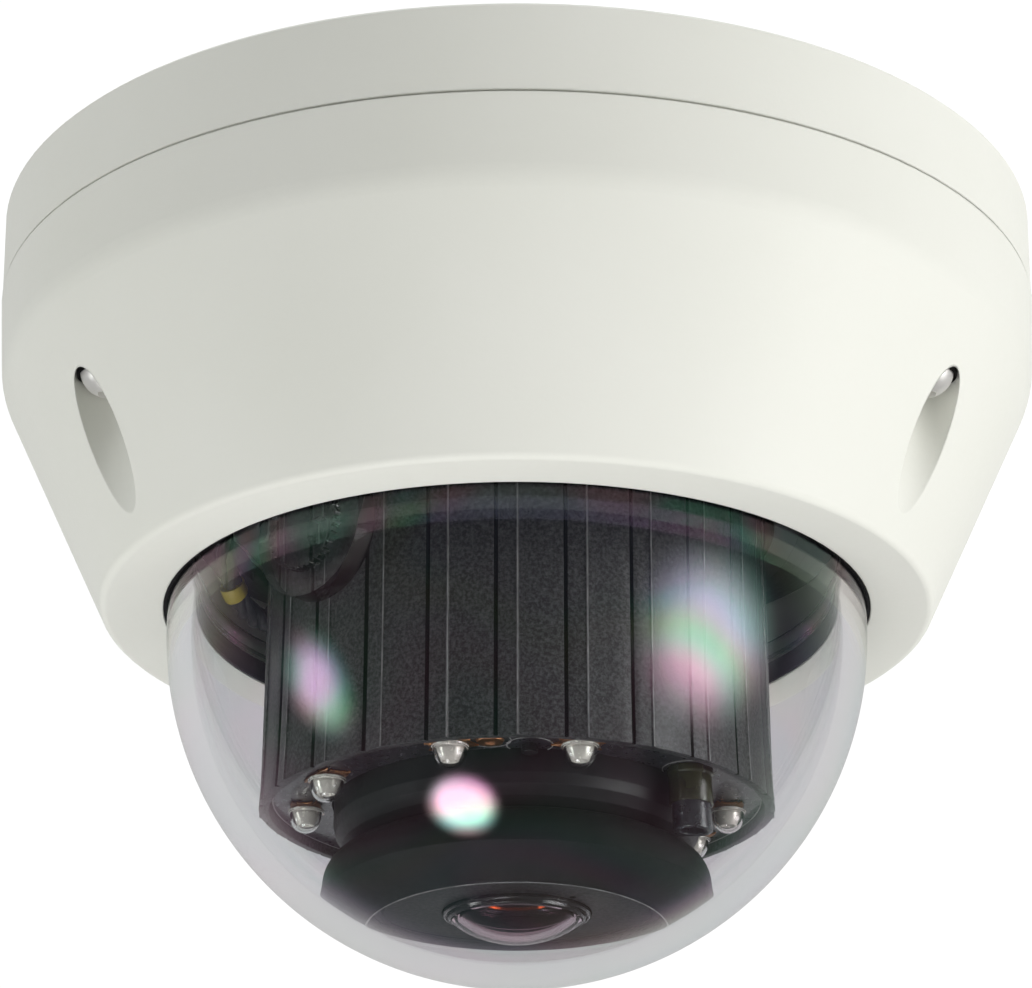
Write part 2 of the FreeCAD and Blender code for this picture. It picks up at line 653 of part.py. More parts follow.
def build_cover_housing():
    inner_at_ledge = D["cover_bore"] - cone_slope() * (D["ledge_drop"] - D["inner_crease_drop"])
    shell = turned([
        (D["cover_bore"], D["cover_top"]), (D["cover_radius"], D["cover_top"]),
        (D["crease_radius"], D["crease_drop"]), (D["rim_radius"], D["rim_drop"]),
        (D["mouth_radius"], D["face_drop"]), (D["mouth_radius"], PLATE_TOP), (D["ledge_radius"], PLATE_TOP),
        (D["ledge_radius"], D["ledge_drop"]), (inner_at_ledge, D["ledge_drop"]),
        (D["cover_bore"], D["inner_crease_drop"]),
    ])
    crease = round_edge(shell, shell.Tip, D["crease_round"], D["crease_radius"], D["crease_drop"])
    round_edge(shell, crease, D["rim_round"], D["rim_radius"], D["rim_drop"])

    # The screw towers are trimmed to this cone, which lies inside the shell's wall.
    buried = 0.6
    envelope = turned([
        (0.0, D["crease_drop"]), (D["crease_radius"] - buried, D["crease_drop"]),
        (D["rim_radius"] - buried, D["rim_drop"] - buried), (0.0, D["rim_drop"] - buried),
    ])
    seat_top = D["seat_drop"] - D["seat_thick"]
    towers = []
    holes = []
    for bearing in SCREW_BEARINGS:
        x, y = around(D["screw_circle"], bearing)
        towers.append(rod(D["well_radius"] + D["well_wall"], seat_top, D["rim_drop"], x, y))
        holes.append(rod(D["well_radius"], D["seat_drop"], D["rim_drop"] + 3.0 * PAST, x, y))
        holes.append(rod(D["screw_shank"] + 0.3, seat_top - PAST, D["seat_drop"] + PAST, x, y))
    for bearing in CLAMP_BEARINGS:
        x, y = around(D["clamp_screw_circle"], bearing)
        holes.append(rod(D["clamp_shank"] + CLEAR, D["ledge_drop"] - PAST, PLATE_TOP - SLIP, x, y))
    housing = cut(joined([shell, common(group(towers), envelope)]), holes)
    node(housing, "cover_housing")


def build_dome():
    inner = D["dome_radius"] - D["dome_thick"]
    flange_bottom = D["flange_top"] + D["flange_thick"]
    outside = joined([
        ball(D["dome_radius"], D["dome_centre"]), rod(D["dome_radius"], D["flange_top"], D["dome_centre"]),
        rod(D["flange_radius"], D["flange_top"], flange_bottom),
    ])
    room = joined([ball(inner, D["dome_centre"]), rod(inner, 0.0, D["dome_centre"])])
    above = rod(D["base_radius"], 0.0, D["flange_top"])
    node(cut(outside, [room, above]), "dome_bubble")

    lip_in = D["dome_radius"] + D["running_gap"]
    lip_out = D["mouth_radius"] - D["running_gap"]
    seal_out = D["ledge_radius"] - SLIP
    lip_drop = D["face_drop"] - SLIP
    node(turned([
        (lip_in, flange_bottom), (seal_out, flange_bottom), (seal_out, PLATE_TOP), (lip_out, PLATE_TOP),
        (lip_out, lip_drop), (lip_in, lip_drop),
    ]), "dome_seal")


def build_dome_clamp():
    """The ring that holds the bubble's flange down on its seal, and its six screws."""
    top = D["flange_top"] - D["clamp_thick"]
    lead_in = 0.6
    clamp = turned([
        (D["clamp_bore"], top + lead_in), (D["clamp_bore"] + lead_in, top), (D["clamp_radius"], top),
        (D["clamp_radius"], D["flange_top"]), (D["clamp_bore"], D["flange_top"]),
    ])
    holes = []
    screws = []
    for bearing in CLAMP_BEARINGS:
        x, y = around(D["clamp_screw_circle"], bearing)
        holes.append(rod(D["clamp_shank"] + 3.0 * CLEAR, top - PAST, D["flange_top"] + PAST, x, y))
        screws.append(small_screw("clamp", PLATE_TOP - 2.0 * SLIP, top, x, y))
    node(cut(clamp, holes), "dome_clamp_ring")
    node(group(screws), "clamp_screws")


def build_captive_screws():
    """Three domed screws, each with a hexagon socket, a washer and a ring that keeps it in the cover."""
    washer_bottom = D["seat_drop"] + D["washer_thick"]
    seat_top = D["seat_drop"] - D["seat_thick"]
    lead_in = 0.5
    dome_start = D["head_drop"] - 3.0
    shank = D["screw_shank"]
    # The head's dome, as shares of its radius and depths above its lowest point.
    dome = [(D["screw_head"] * share, D["head_drop"] - rise)
            for share, rise in ((0.93, 1.9), (0.75, 0.95), (0.45, 0.25))]
    washers = []
    rings = []
    for bearing, name in zip(SCREW_BEARINGS, SCREW_NAMES):
        x, y = around(D["screw_circle"], bearing)
        blank = turned([
            (0.0, D["screw_top"]), (shank - lead_in, D["screw_top"]), (shank, D["screw_top"] + lead_in),
            (shank, washer_bottom), (D["screw_head"], washer_bottom), (D["screw_head"], dome_start),
        ] + dome + [(0.0, D["head_drop"])], x, y)
        socket = doc.addObject("Part::Prism", fresh("socket"))
        socket.Polygon = 6
        bind(socket, "Circumradius", D["screw_head"] * 0.39)
        bind(socket, "Height", D["socket_deep"] + PAST)
        put(socket, x, y, -1.0 * (D["head_drop"] + PAST))
        node(cut(blank, [socket]), name)
        washers.append(ring(shank + SLIP, D["well_radius"] - 0.3, D["seat_drop"], washer_bottom, x, y))
        rings.append(ring(SHANK_HOLE, D["post_radius"] + SLIP, seat_top - 0.9, seat_top - CLEAR, x, y))
    node(group(washers), "screw_washers")
    node(group(rings), "screw_retainers")


def build_pan_hub():
    """The turntable's hollow neck, which drops through the frame and is held by a spring clip."""
    clip_top = D["hub_top"] + D["clip_lip"]
    clip_bottom = D["frame_top"] - 2.0 * CLEAR
    lip = D["hub_radius"] - 2.0 * SLIP
    waist = D["hub_radius"] - D["clip_groove"]
    node(turned([
        (D["hub_bore"], D["hub_top"]), (lip, D["hub_top"]), (lip, clip_top), (waist, clip_top),
        (waist, clip_bottom), (D["hub_radius"], clip_bottom), (D["hub_radius"], D["table_top"]),
        (D["table_radius"], D["table_top"]), (D["table_radius"], TABLE_BOTTOM), (D["hub_bore"], TABLE_BOTTOM),
    ]), "pan_hub")
    clip = ring(waist + D["running_gap"], D["hub_radius"] + D["clip_reach"], clip_top, clip_bottom)
    node(clip, "hub_clip")


def build_shroud():
    """A tube whose outside is cut into equal stepped facets."""
    body = new_body()
    blank = sketch_on(body, "XY_Plane", D["table_top"])
    ring_sketch(blank, D["shroud_blank"], D["shroud_bore"])
    pad(body, blank, D["shroud_drop"] - D["table_top"])
    facet = sketch_on(body, "XY_Plane", D["table_top"])
    pitch = 360.0 / D["facet_count"]
    outside = D["shroud_blank"] + PAST
    # The facet's corners are given in the body's frame, where Y points to the front.
    stops = [(D["shroud_ridge"], 0.0), (D["shroud_groove"], D["facet_split"]),
             (D["shroud_ridge"], pitch), (outside, pitch), (outside, 0.0)]
    shape = [(radius * sine(bearing), radius * cosine(bearing)) for radius, bearing in stops]
    outline(facet, shape)
    groove = body.newObject("PartDesign::Pocket", fresh("facet"))
    groove.Profile = facet
    bind(groove, "Length", D["shroud_drop"] - D["table_top"] + PAST)
    groove.Reversed = True
    polar(body, groove, D["facet_count"])
    hole = aimed_rod(SHANK_HOLE, D["shroud_bore"] - 4.0, D["shroud_blank"] + 4.0,
                     D["knob_bearing"], D["knob_drop"])
    node(cut(body, [hole]), "module_shroud")


def outward_placement(bearing, near, drop):
    """The placement whose Z points outward along a bearing, starting at a distance from the axis."""
    angle = math.radians(number_of(bearing))
    outward = FreeCAD.Vector(math.sin(angle), -math.cos(angle), 0)
    start = outward * number_of(near) + FreeCAD.Vector(0, 0, -number_of(drop))
    return FreeCAD.Placement(start, FreeCAD.Rotation(FreeCAD.Vector(0, 0, 1), outward))


def aimed_rod(radius, near, far, bearing, drop):
    item = doc.addObject("Part::Cylinder", fresh("aimed"))
    bind(item, "Radius", radius)
    bind(item, "Height", far - near)
    item.Placement = outward_placement(bearing, near, drop)
    put(item, near * sine(bearing), -(near * cosine(bearing)), -drop)
    return item


def build_lock_knob():
    """A lock thumbscrew: a plain disc, a toothed raised centre and a plain shaft into the shroud."""
    body = doc.addObject("PartDesign::Body", fresh("body"))
    disc = sketch_on(body, "XY_Plane")
    ring_sketch(disc, D["knob_radius"])
    pad(body, disc, D["knob_thick"])
    boss = sketch_on(body, "XY_Plane", D["knob_thick"])
    ring_sketch(boss, D["knob_boss"])
    pad(body, boss, D["knob_boss_thick"])
    shaft = sketch_on(body, "XY_Plane")
    ring_sketch(shaft, D["screw_shank"])
    pad(body, shaft, D["knob_face"] - D["shroud_bore"] + 2.0, True)
    # One notch beside the X axis, deeper on one side and wider at its mouth.
    notch = sketch_on(body, "XY_Plane", D["knob_thick"])
    edge = D["knob_boss"]
    near_side = CLEAR
    far_side = CLEAR + D["notch_wide"]
    outline(notch, [(edge - D["notch_deep"], near_side), (edge + PAST, near_side), (edge + PAST, far_side),
                    (edge - D["notch_deep"] / 4.0, far_side)])
    groove = body.newObject("PartDesign::Pocket", fresh("notch"))
    groove.Profile = notch
    bind(groove, "Length", D["knob_boss_thick"] + PAST)
    groove.Reversed = True
    polar(body, groove, D["knob_teeth"])
    body.Placement = outward_placement(D["knob_bearing"], D["knob_face"], D["knob_drop"])
    put(body, D["knob_face"] * sine(D["knob_bearing"]), -(D["knob_face"] * cosine(D["knob_bearing"])),
        -D["knob_drop"])
    node(body, "lock_knob")


def build_sensor_stack():
    board_bottom = D["sensor_board_drop"]
    board_top = board_bottom - D["board_thick"]
    posts = []
    for bearing in CORNER_BEARINGS:
        x, y = around(D["neck_radius"] - 2.6, bearing)
        posts.append(rod(D["post_size"], TABLE_BOTTOM, board_top, x, y))
    node(group(posts), "module_posts")

    board_holes = []
    screws = []
    for bearing in SQUARE_BEARINGS:
        x, y = around(WALL_MIDDLE, bearing)
        board_holes.append(rod(D["sensor_shank"] + CLEAR, board_top - PAST, board_bottom + PAST, x, y))
        screws.append(small_screw("sensor", board_bottom + SENSOR_THREAD, board_top, x, y))
    board = rod(D["sensor_board_radius"], board_top, board_bottom)
    node(cut(board, board_holes), "sensor_board")
    node(group(screws), "sensor_screws")
    chip_drop = board_bottom + D["chip_tall"]
    node(block(D["chip_wide"], D["chip_deep"], board_bottom, chip_drop), "image_sensor")


def build_lens_holder():
    """The barrel: the lens turns in its bore, and its end narrows in a rounded step to a neck."""
    barrel = D["barrel_radius"]
    drop = D["barrel_drop"]
    bore = D["lens_radius"] + D["running_gap"]
    tube = turned([
        (D["cavity_radius"], D["sensor_board_drop"]), (barrel, D["sensor_board_drop"]), (barrel, drop),
        (barrel - 0.35, drop + 1.5), (barrel - 1.3, drop + 2.9), (D["neck_radius"], D["neck_drop"]),
        (D["grip_radius"], D["neck_drop"]), (D["grip_radius"], D["grip_drop"]), (bore, D["grip_drop"]),
        (bore, D["cavity_drop"]), (D["cavity_radius"], D["cavity_drop"]),
    ])
    holes = []
    hole_end = D["sensor_board_drop"] + SENSOR_THREAD + PAST / 2.0
    for bearing in SQUARE_BEARINGS:
        x, y = around(WALL_MIDDLE, bearing)
        holes.append(rod(D["sensor_shank"] + CLEAR, D["sensor_board_drop"] - PAST, hole_end, x, y))
    node(cut(tube, holes), "lens_holder")


def build_lens_hood():
    """A rubber collar whose lower face follows the inside of the dome."""
    clear = D["dome_radius"] - D["dome_thick"] - D["hood_gap"]

    def under_dome(radius):
        return D["dome_centre"] + root(clear * clear - radius * radius)

    grip = D["grip_radius"] + CLEAR
    top = D["neck_drop"] + CLEAR
    shelf = D["grip_drop"] + D["hood_gap"]
    outer = D["hood_radius"]
    bore = D["hood_bore"]
    third = (outer - bore) / 3.0
    reach = outer - D["neck_radius"]

    def shoulder(turn):
        """A point on the quarter round between the neck and the widest edge."""
        return D["neck_radius"] + reach * sine(turn), top + D["shoulder_deep"] * (1.0 - cosine(turn))

    node(turned([
        (grip, top), (D["neck_radius"], top), shoulder(30.0), shoulder(60.0), shoulder(90.0),
        (outer, under_dome(outer)), (outer - third, under_dome(outer - third)),
        (bore + third, under_dome(bore + third)), (bore, under_dome(bore)), (bore, shelf), (grip, shelf),
    ]), "lens_hood")


def build_lens():
    """The turning lens: a stepped body, a rim, three glasses and a stop between the first two."""
    face = D["lens_face_drop"]
    seat = face - D["lens_seat"]
    back = D["cavity_drop"] + PAST
    rim = D["lens_rim"] + 2.0 * CLEAR
    throat = D["glass_radius"] - 1.4
    iris = D["iris_radius"]
    rear = iris + 3.4
    pinch = iris + 2.0
    step = D["grip_drop"] + 0.5
    node(turned([
        (rear, back), (D["lens_radius"], back), (D["lens_radius"], step), (D["lens_face_radius"], step),
        (D["lens_face_radius"], face), (rim, face), (rim, seat), (throat, seat), (throat, seat - 6.0),
        (pinch, seat - 9.0), (pinch, back + 6.0), (rear, back + 6.0),
    ]), "lens_body")
    inner = D["glass_radius"] + CLEAR
    ring_top = seat + 2.0 * CLEAR
    node(turned([
        (inner, ring_top), (D["lens_rim"], ring_top), (D["lens_rim"], face + 0.3),
        (D["lens_rim"] - 0.3, face + 0.6), (inner, face + 1.1),
    ]), "lens_front_ring")
    centre = D["glass_tip"] - D["glass_curve"]
    node(common(ball(D["glass_curve"], centre), rod(D["glass_radius"], ring_top, D["glass_tip"] + PAST)),
         "front_glass")
    stop = throat - 2.0 * CLEAR
    node(ring(iris, stop, seat - 1.7, seat - 1.0), "aperture_ring")
    node(rod(stop, seat - 5.3, seat - 2.4), "inner_glass")
    node(rod(rear - 2.0 * CLEAR, back + 1.0, back + 3.5), "rear_glass")


def build_filter():
    """The day and night filter: a framed pair of windows that slides between two guides."""
    top = D["sensor_board_drop"] + D["chip_tall"] + PAST
    bottom = top + D["filter_thick"]
    guide_rear = D["filter_deep"] / 2.0 + 0.3 + D["guide_wide"] / 2.0
    guides = []
    for side in (-1.0, 1.0):
        guides.append(block(D["guide_length"], D["guide_wide"], top - 0.6, bottom + PAST,
                            0.0, side * guide_rear))
    node(group(guides), "filter_guides")
    node(rod(D["coil_radius"], top - 2.0, bottom + 1.8, 0.0, D["coil_rear"]), "filter_coil")

    second = -D["filter_shift"]
    length = D["window_side"] + D["filter_shift"] + 2.0 * D["filter_margin"]
    plate = block(length, D["filter_deep"], top, bottom, second / 2.0)
    windows = []
    panes = []
    pane = D["window_side"] - D["filter_slack"]
    for x in (0.0, second):
        windows.append(block(D["window_side"], D["window_side"], top - PAST, bottom + PAST, x))
        panes.append(block(pane, pane, top + 0.5, bottom - 0.5, x))
    node(cut(plate, windows), "filter_frame")
    node(panes[0], "ir_cut_glass")
    node(panes[1], "clear_glass")


def build_led_board():
    board_top = D["led_board_drop"] - D["board_thick"]
    tip = board_top - 6.0
    circle = D["led_circle"] - SLIP
    holes = []
    posts = []
    post_holes = []
    screws = []
    for bearing in LED_SCREW_BEARINGS:
        x, y = around(circle, bearing)
        holes.append(rod(D["light_shank"] + 2.0 * CLEAR, board_top - PAST, D["led_board_drop"] + PAST, x, y))
        posts.append(rod(D["light_post"], TABLE_BOTTOM, board_top, x, y))
        post_holes.append(rod(D["light_shank"] + CLEAR, tip - PAST, board_top + PAST, x, y))
        screws.append(small_screw("light", tip, D["led_board_drop"], x, y))
    disc = ring(D["barrel_radius"] + 0.3, D["led_board_radius"], board_top, D["led_board_drop"])
    node(cut(disc, holes), "led_board")
    node(cut(group(posts), post_holes), "led_posts")
    node(group(screws), "led_board_screws")


def build_leds():
    base_drop = D["led_board_drop"] + D["led_base_thick"]
    near = D["led_circle"] - D["led_base_deep"] / 2.0
    far = D["led_circle"] + D["led_base_deep"] / 2.0
    centre = D["led_tip"] - D["led_radius"]
    bases = []
    lenses = []
    for bearing in LED_BEARINGS:
        x, y = around(D["led_circle"], bearing)
        bases.append(radial_block(near, far, D["led_base_wide"], D["led_board_drop"], base_drop, bearing))
        cap = joined([ball(D["led_radius"], centre, x, y), rod(D["led_radius"], base_drop, centre, x, y)])
        lenses.append(common(cap, rod(D["led_radius"] + PAST, base_drop, D["led_tip"] + PAST, x, y)))
    node(group(bases), "led_bases")
    node(group(lenses), "led_lenses")


def build_board_sensors():
    x, y = around(D["mic_circle"], D["mic_bearing"])
    node(rod(D["mic_radius"], D["led_board_drop"], D["led_board_drop"] + D["mic_radius"], x, y), "microphone")
    x, y = around(D["sensor_circle"], D["sensor_bearing"])
    node(rod(D["sensor_collar"], D["led_board_drop"], D["collar_drop"], x, y), "light_sensor")
    tube = rod(D["sensor_tube"], D["collar_drop"], D["tube_drop"], x, y)
    bore = rod(D["sensor_tube"] - 0.9, D["tube_drop"] - 2.0, D["tube_drop"] + PAST, x, y)
    node(cut(tube, [bore]), "light_sensor_tube")


def write_parts():
    doc.recompute()
    for item in doc.Objects:
        state = [word for word in item.State if word in ("Invalid", "Error")]
        if state:
            raise ValueError("%s (%s) is %s" % (item.Name, item.Label, state))
    for item in NODES:
        shape = item.Shape
        if shape.isNull() or not shape.isValid() or not shape.Solids:
            raise ValueError("%s has no valid solid" % item.Label)
    os.makedirs("parts", exist_ok=True)
    for item in NODES:
        item.Shape.exportStep("parts/%s.step" % item.Label)
        print("%-20s solids %2d volume %10.1f" % (item.Label, len(item.Shape.Solids), item.Shape.Volume))


build_mounting_base()
build_base_seals()
build_main_board()
build_heat_path()
build_board_parts()
build_support_frame()
build_inner_liner()
build_harness()
build_cover_housing()
build_dome()
build_dome_clamp()
build_captive_screws()
build_pan_hub()
build_shroud()
build_lock_knob()
build_sensor_stack()
build_lens_holder()
build_lens_hood()
build_lens()
build_filter()
build_led_board()
build_leds()
build_board_sensors()
write_parts()
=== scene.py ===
import math

import bmesh
import bpy
from mathutils import Matrix, Vector
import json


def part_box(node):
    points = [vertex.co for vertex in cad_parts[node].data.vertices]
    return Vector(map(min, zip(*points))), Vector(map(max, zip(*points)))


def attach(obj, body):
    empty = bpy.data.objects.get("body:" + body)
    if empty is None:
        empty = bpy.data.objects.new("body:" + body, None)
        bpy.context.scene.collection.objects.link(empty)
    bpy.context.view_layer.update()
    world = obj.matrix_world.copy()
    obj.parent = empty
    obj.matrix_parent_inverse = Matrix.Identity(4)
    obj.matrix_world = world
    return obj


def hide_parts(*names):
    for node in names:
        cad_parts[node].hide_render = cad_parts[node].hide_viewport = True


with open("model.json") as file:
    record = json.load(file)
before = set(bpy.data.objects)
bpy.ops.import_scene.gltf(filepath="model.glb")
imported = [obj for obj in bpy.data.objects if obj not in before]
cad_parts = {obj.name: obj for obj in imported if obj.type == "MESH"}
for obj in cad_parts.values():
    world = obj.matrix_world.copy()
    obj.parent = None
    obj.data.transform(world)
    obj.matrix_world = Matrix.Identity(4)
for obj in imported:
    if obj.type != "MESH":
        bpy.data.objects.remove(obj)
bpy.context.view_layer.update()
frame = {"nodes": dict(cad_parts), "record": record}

# Looks of a ceiling dome camera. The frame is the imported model, in metres: the origin is the centre
# of the ceiling face, +Z points into the ceiling and -Y is the front. Profiles below are written in
# millimetres as (radius, z); bearings are in degrees, 0 at the front and growing towards +X.

MM = 0.001
NODES = frame["nodes"]


# ---------------------------------------------------------------- frame sizes

def high(node, axis=2):
    """The highest coordinate of a CAD node on an axis, in millimetres."""
    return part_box(node)[1][axis] / MM


def low(node, axis=2):
    """The lowest coordinate of a CAD node on an axis, in millimetres."""
    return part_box(node)[0][axis] / MM


def middle(node):
    """The centre of a CAD node's box, in millimetres."""
    lower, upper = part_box(node)
    return (lower + upper) / (2.0 * MM)


def at(radius, bearing, z=0.0):
    """A point in millimetres at a radius and bearing about the camera's axis."""
    angle = math.radians(bearing)
    return Vector((radius * math.sin(angle), -radius * math.cos(angle), z))


# ---------------------------------------------------------------- meshes

def new_object(name, mesh):
    item = bpy.data.objects.new(name, mesh)
    bpy.context.scene.collection.objects.link(item)
    return item


def mesh_from(name, points, faces):
    """A mesh object from points in millimetres."""
    mesh = bpy.data.meshes.new(name)
    mesh.from_pydata([Vector(point) * MM for point in points], [], faces)
    mesh.update()
    return new_object(name, mesh)


def smooth(item, angle=32.0):
    """Shade smoothly, but keep edges sharper than the angle crisp."""
    work = bmesh.new()
    work.from_mesh(item.data)
    bmesh.ops.remove_doubles(work, verts=work.verts, dist=1e-7)
    bmesh.ops.recalc_face_normals(work, faces=work.faces)
    for face in work.faces:
        face.smooth = True
    for edge in work.edges:
        edge.smooth = edge.calc_face_angle(0.0) < math.radians(angle)
    work.to_mesh(item.data)
    work.free()
    return item


def rounded(points, radius, steps=4):
    """The closed profile with each corner replaced by a short curve of about this radius."""
    result = []
    count = len(points)
    for index in range(count):
        corner = Vector(points[index])
        before = Vector(points[index - 1]) - corner
        after = Vector(points[(index + 1) % count]) - corner
        if corner.x < 1e-6 or min(before.length, after.length) < 1e-6:
            result.append(tuple(corner))
            continue
        half = before.angle(after) / 2.0
        reach = min(radius / math.tan(half), before.length * 0.45, after.length * 0.45)
        start = corner + before.normalized() * reach
        end = corner + after.normalized() * reach
        for step in range(steps + 1):
            share = step / steps
            bend = (1 - share) ** 2 * start + 2 * share * (1 - share) * corner + share ** 2 * end
            result.append(tuple(bend))
    return result


def arc_points(radius, centre_z, start, end, steps):
    """Points of an arc about the axis in the (radius, z) plane, in degrees below the horizontal."""
    points = []
    for step in range(steps + 1):
        angle = math.radians(start + (end - start) * step / steps)
        points.append((max(0.0, radius * math.cos(angle)), centre_z - radius * math.sin(angle)))
    return points


def lathe(name, profile, segments=192, centre=(0.0, 0.0)):
    """Turn a closed profile of (radius, z) about an upright axis through centre."""
    points = []
    rings = []
    for radius, z in profile:
        if radius < 1e-6:
            rings.append([len(points)] * segments)
            points.append((centre[0], centre[1], z))
            continue
        rings.append(list(range(len(points), len(points) + segments)))
        for step in range(segments):
            turn = 2 * math.pi * step / segments
            points.append((centre[0] + radius * math.cos(turn), centre[1] + radius * math.sin(turn), z))
    faces = []
    count = len(rings)
    for index in range(count):
        first = rings[index]
        second = rings[(index + 1) % count]
        for step in range(segments):
            following = (step + 1) % segments
            corners = [first[step], first[following], second[following], second[step]]
            unique = list(dict.fromkeys(corners))
            if len(unique) > 2:
                faces.append(unique)
    return mesh_from(name, points, faces)


def prism(name, outline, bottom, top):
    """A straight column over a closed outline of (x, y)."""
    count = len(outline)
    points = [(x, y, z) for z in (bottom, top) for x, y in outline]
    faces = []
    for index in range(count):
        following = (index + 1) % count
        faces.append([index, following, count + following, count + index])
    faces.append(list(range(count))[::-1])
    faces.append(list(range(count, 2 * count)))
    return mesh_from(name, points, faces)


def merged(name, items):
    """One object from several, which are used up."""
    work = bmesh.new()
    for item in items:
        work.from_mesh(item.data)
    mesh = bpy.data.meshes.new(name)
    work.to_mesh(mesh)
    work.free()
    for item in items:
        bpy.data.objects.remove(item)
    return new_object(name, mesh)


def applied(item):
    """Replace the mesh with what its modifiers make of it."""
    graph = bpy.context.evaluated_depsgraph_get()
    mesh = bpy.data.meshes.new_from_object(item.evaluated_get(graph))
    item.modifiers.clear()
    item.data = mesh
    return item


def cut_from(item, tool):
    """Cut another object away, which is used up."""
    modifier = item.modifiers.new("shape", "BOOLEAN")
    modifier.object = tool
    modifier.operation = "DIFFERENCE"
    modifier.solver = "EXACT"
    applied(item)
    bpy.data.objects.remove(tool)
    return item


def beveled(item, width, segments=2, angle=40.0):
    modifier = item.modifiers.new("edge", "BEVEL")
    modifier.width = width * MM
    modifier.segments = segments
    modifier.limit_method = "ANGLE"
    modifier.angle_limit = math.radians(angle)
    return applied(item)


def placed(item, point, turn=0.0):
    """Turn a mesh about the Z axis, then move it by a point in millimetres."""
    spin = Matrix.Rotation(math.radians(turn), 4, "Z")
    item.data.transform(Matrix.Translation(Vector(point) * MM) @ spin)
    return item


# ---------------------------------------------------------------- materials

class Shader:
    """A node material with short calls for the nodes used here."""

    def __init__(self, name):
        self.material = bpy.data.materials.new(name)
        self.material.use_nodes = True
        self.tree = self.material.node_tree
        self.main = self.tree.nodes["Principled BSDF"]
        self.output = self.tree.nodes["Material Output"]
        self.place = self.add("ShaderNodeTexCoord").outputs["Object"]

    def add(self, kind):
        return self.tree.nodes.new(kind)

    def link(self, start, socket):
        """Link to a named socket of the main shader, or to any other socket."""
        self.tree.links.new(start, self.main.inputs[socket] if isinstance(socket, str) else socket)

    def put(self, socket, value):
        self.main.inputs[socket].default_value = value

    def noise(self, scale, detail=3.0, roughness=0.5, stretch=None):
        item = self.add("ShaderNodeTexNoise")
        item.inputs["Scale"].default_value = scale
        item.inputs["Detail"].default_value = detail
        item.inputs["Roughness"].default_value = roughness
        place = self.place
        if stretch is not None:
            mapping = self.add("ShaderNodeMapping")
            mapping.inputs["Scale"].default_value = stretch
            self.link(self.place, mapping.inputs["Vector"])
            place = mapping.outputs["Vector"]
        self.link(place, item.inputs["Vector"])
        return item.outputs["Fac"]

    def ramp(self, value, stops):
        item = self.add("ShaderNodeValToRGB")
        band = item.color_ramp
        while len(band.elements) < len(stops):
            band.elements.new(0.5)
        for element, (position, color) in zip(band.elements, stops):
            element.position = position
            element.color = color
        self.link(value, item.inputs["Fac"])
        return item.outputs["Color"]

    def span(self, value, low_value, high_value, start=0.3, end=0.7):
        item = self.add("ShaderNodeMapRange")
        item.inputs["From Min"].default_value = start
        item.inputs["From Max"].default_value = end
        item.inputs["To Min"].default_value = low_value
        item.inputs["To Max"].default_value = high_value
        self.link(value, item.inputs["Value"])
        return item.outputs["Result"]

    def bump(self, value, strength, depth, under=None):
        item = self.add("ShaderNodeBump")
        item.inputs["Strength"].default_value = strength
        item.inputs["Distance"].default_value = depth * MM
        self.link(value, item.inputs["Height"])
        if under is not None:
            self.link(under, item.inputs["Normal"])
        return item.outputs["Normal"]

    def soft_edge(self, radius):
        item = self.add("ShaderNodeBevel")
        item.samples = 4
        item.inputs["Radius"].default_value = radius * MM
        return item.outputs["Normal"]

    def pass_light(self, share):
        """Let a share of the light through to shadow rays, so what lies behind clear plastic is lit."""
        path = self.add("ShaderNodeLightPath")
        clear = self.add("ShaderNodeBsdfTransparent")
        clear.inputs["Color"].default_value = (share, share, share, 1.0)
        mix = self.add("ShaderNodeMixShader")
        self.link(path.outputs["Is Shadow Ray"], mix.inputs["Fac"])
        self.link(self.main.outputs["BSDF"], mix.inputs[1])
        self.link(clear.outputs["BSDF"], mix.inputs[2])
        self.link(mix.outputs["Shader"], self.output.inputs["Surface"])


def tone(color, factor):
    return tuple(min(1.0, part * factor) for part in color) + (1.0,)


def surface(name, color, rough, metal=0.0, spread=0.1, cloud=150.0, grain=1500.0, bump=0.15, depth=0.04,
            edge=0.0, stretch=None, coat=0.0, gloss=0.5):
    """A material with mottled colour, uneven gloss, fine grain and softened edges."""
    shader = Shader(name)
    uneven = 0.05
    mottle = shader.noise(cloud, 4.0)
    fine = shader.noise(grain, 2.0, 0.6, stretch)
    stops = [(0.3, tone(color, 1 - spread)), (0.7, tone(color, 1 + spread))]
    shader.link(shader.ramp(mottle, stops), "Base Color")
    shader.link(shader.span(fine, max(0.02, rough - uneven), rough + uneven), "Roughness")
    under = shader.soft_edge(edge) if edge > 0.0 else None
    shader.link(shader.bump(fine, bump, depth, under), "Normal")
    shader.put("Metallic", metal)
    shader.put("Coat Weight", coat)
    shader.put("Specular IOR Level", gloss)
    return shader.material


def rubber(name, color, rough=0.62, gloss=0.12):
    """Matt rubber with a faint bloom."""
    return surface(name, color, rough, spread=0.3, cloud=120.0, grain=1700.0, bump=0.2, depth=0.05, edge=0.25,
                   gloss=gloss)


def plastic(name, color, rough=0.35):
    """Moulded plastic with soft edges."""
    return surface(name, color, rough, spread=0.06, grain=1000.0, edge=0.18)


def metal(name, color, rough, stretch=None, spread=0.08):
    """Plated or turned metal; stretch draws its grain out into brush marks."""
    return surface(name, color, rough, metal=1.0, spread=spread, grain=1400.0, depth=0.02, edge=0.12,
                   stretch=stretch)


def circuit(name, color, rough=0.3):
    """Solder mask over copper, mottled by the tracks under it."""
    return surface(name, color, rough, spread=0.3, cloud=480.0, grain=1000.0, bump=0.12, coat=0.3)


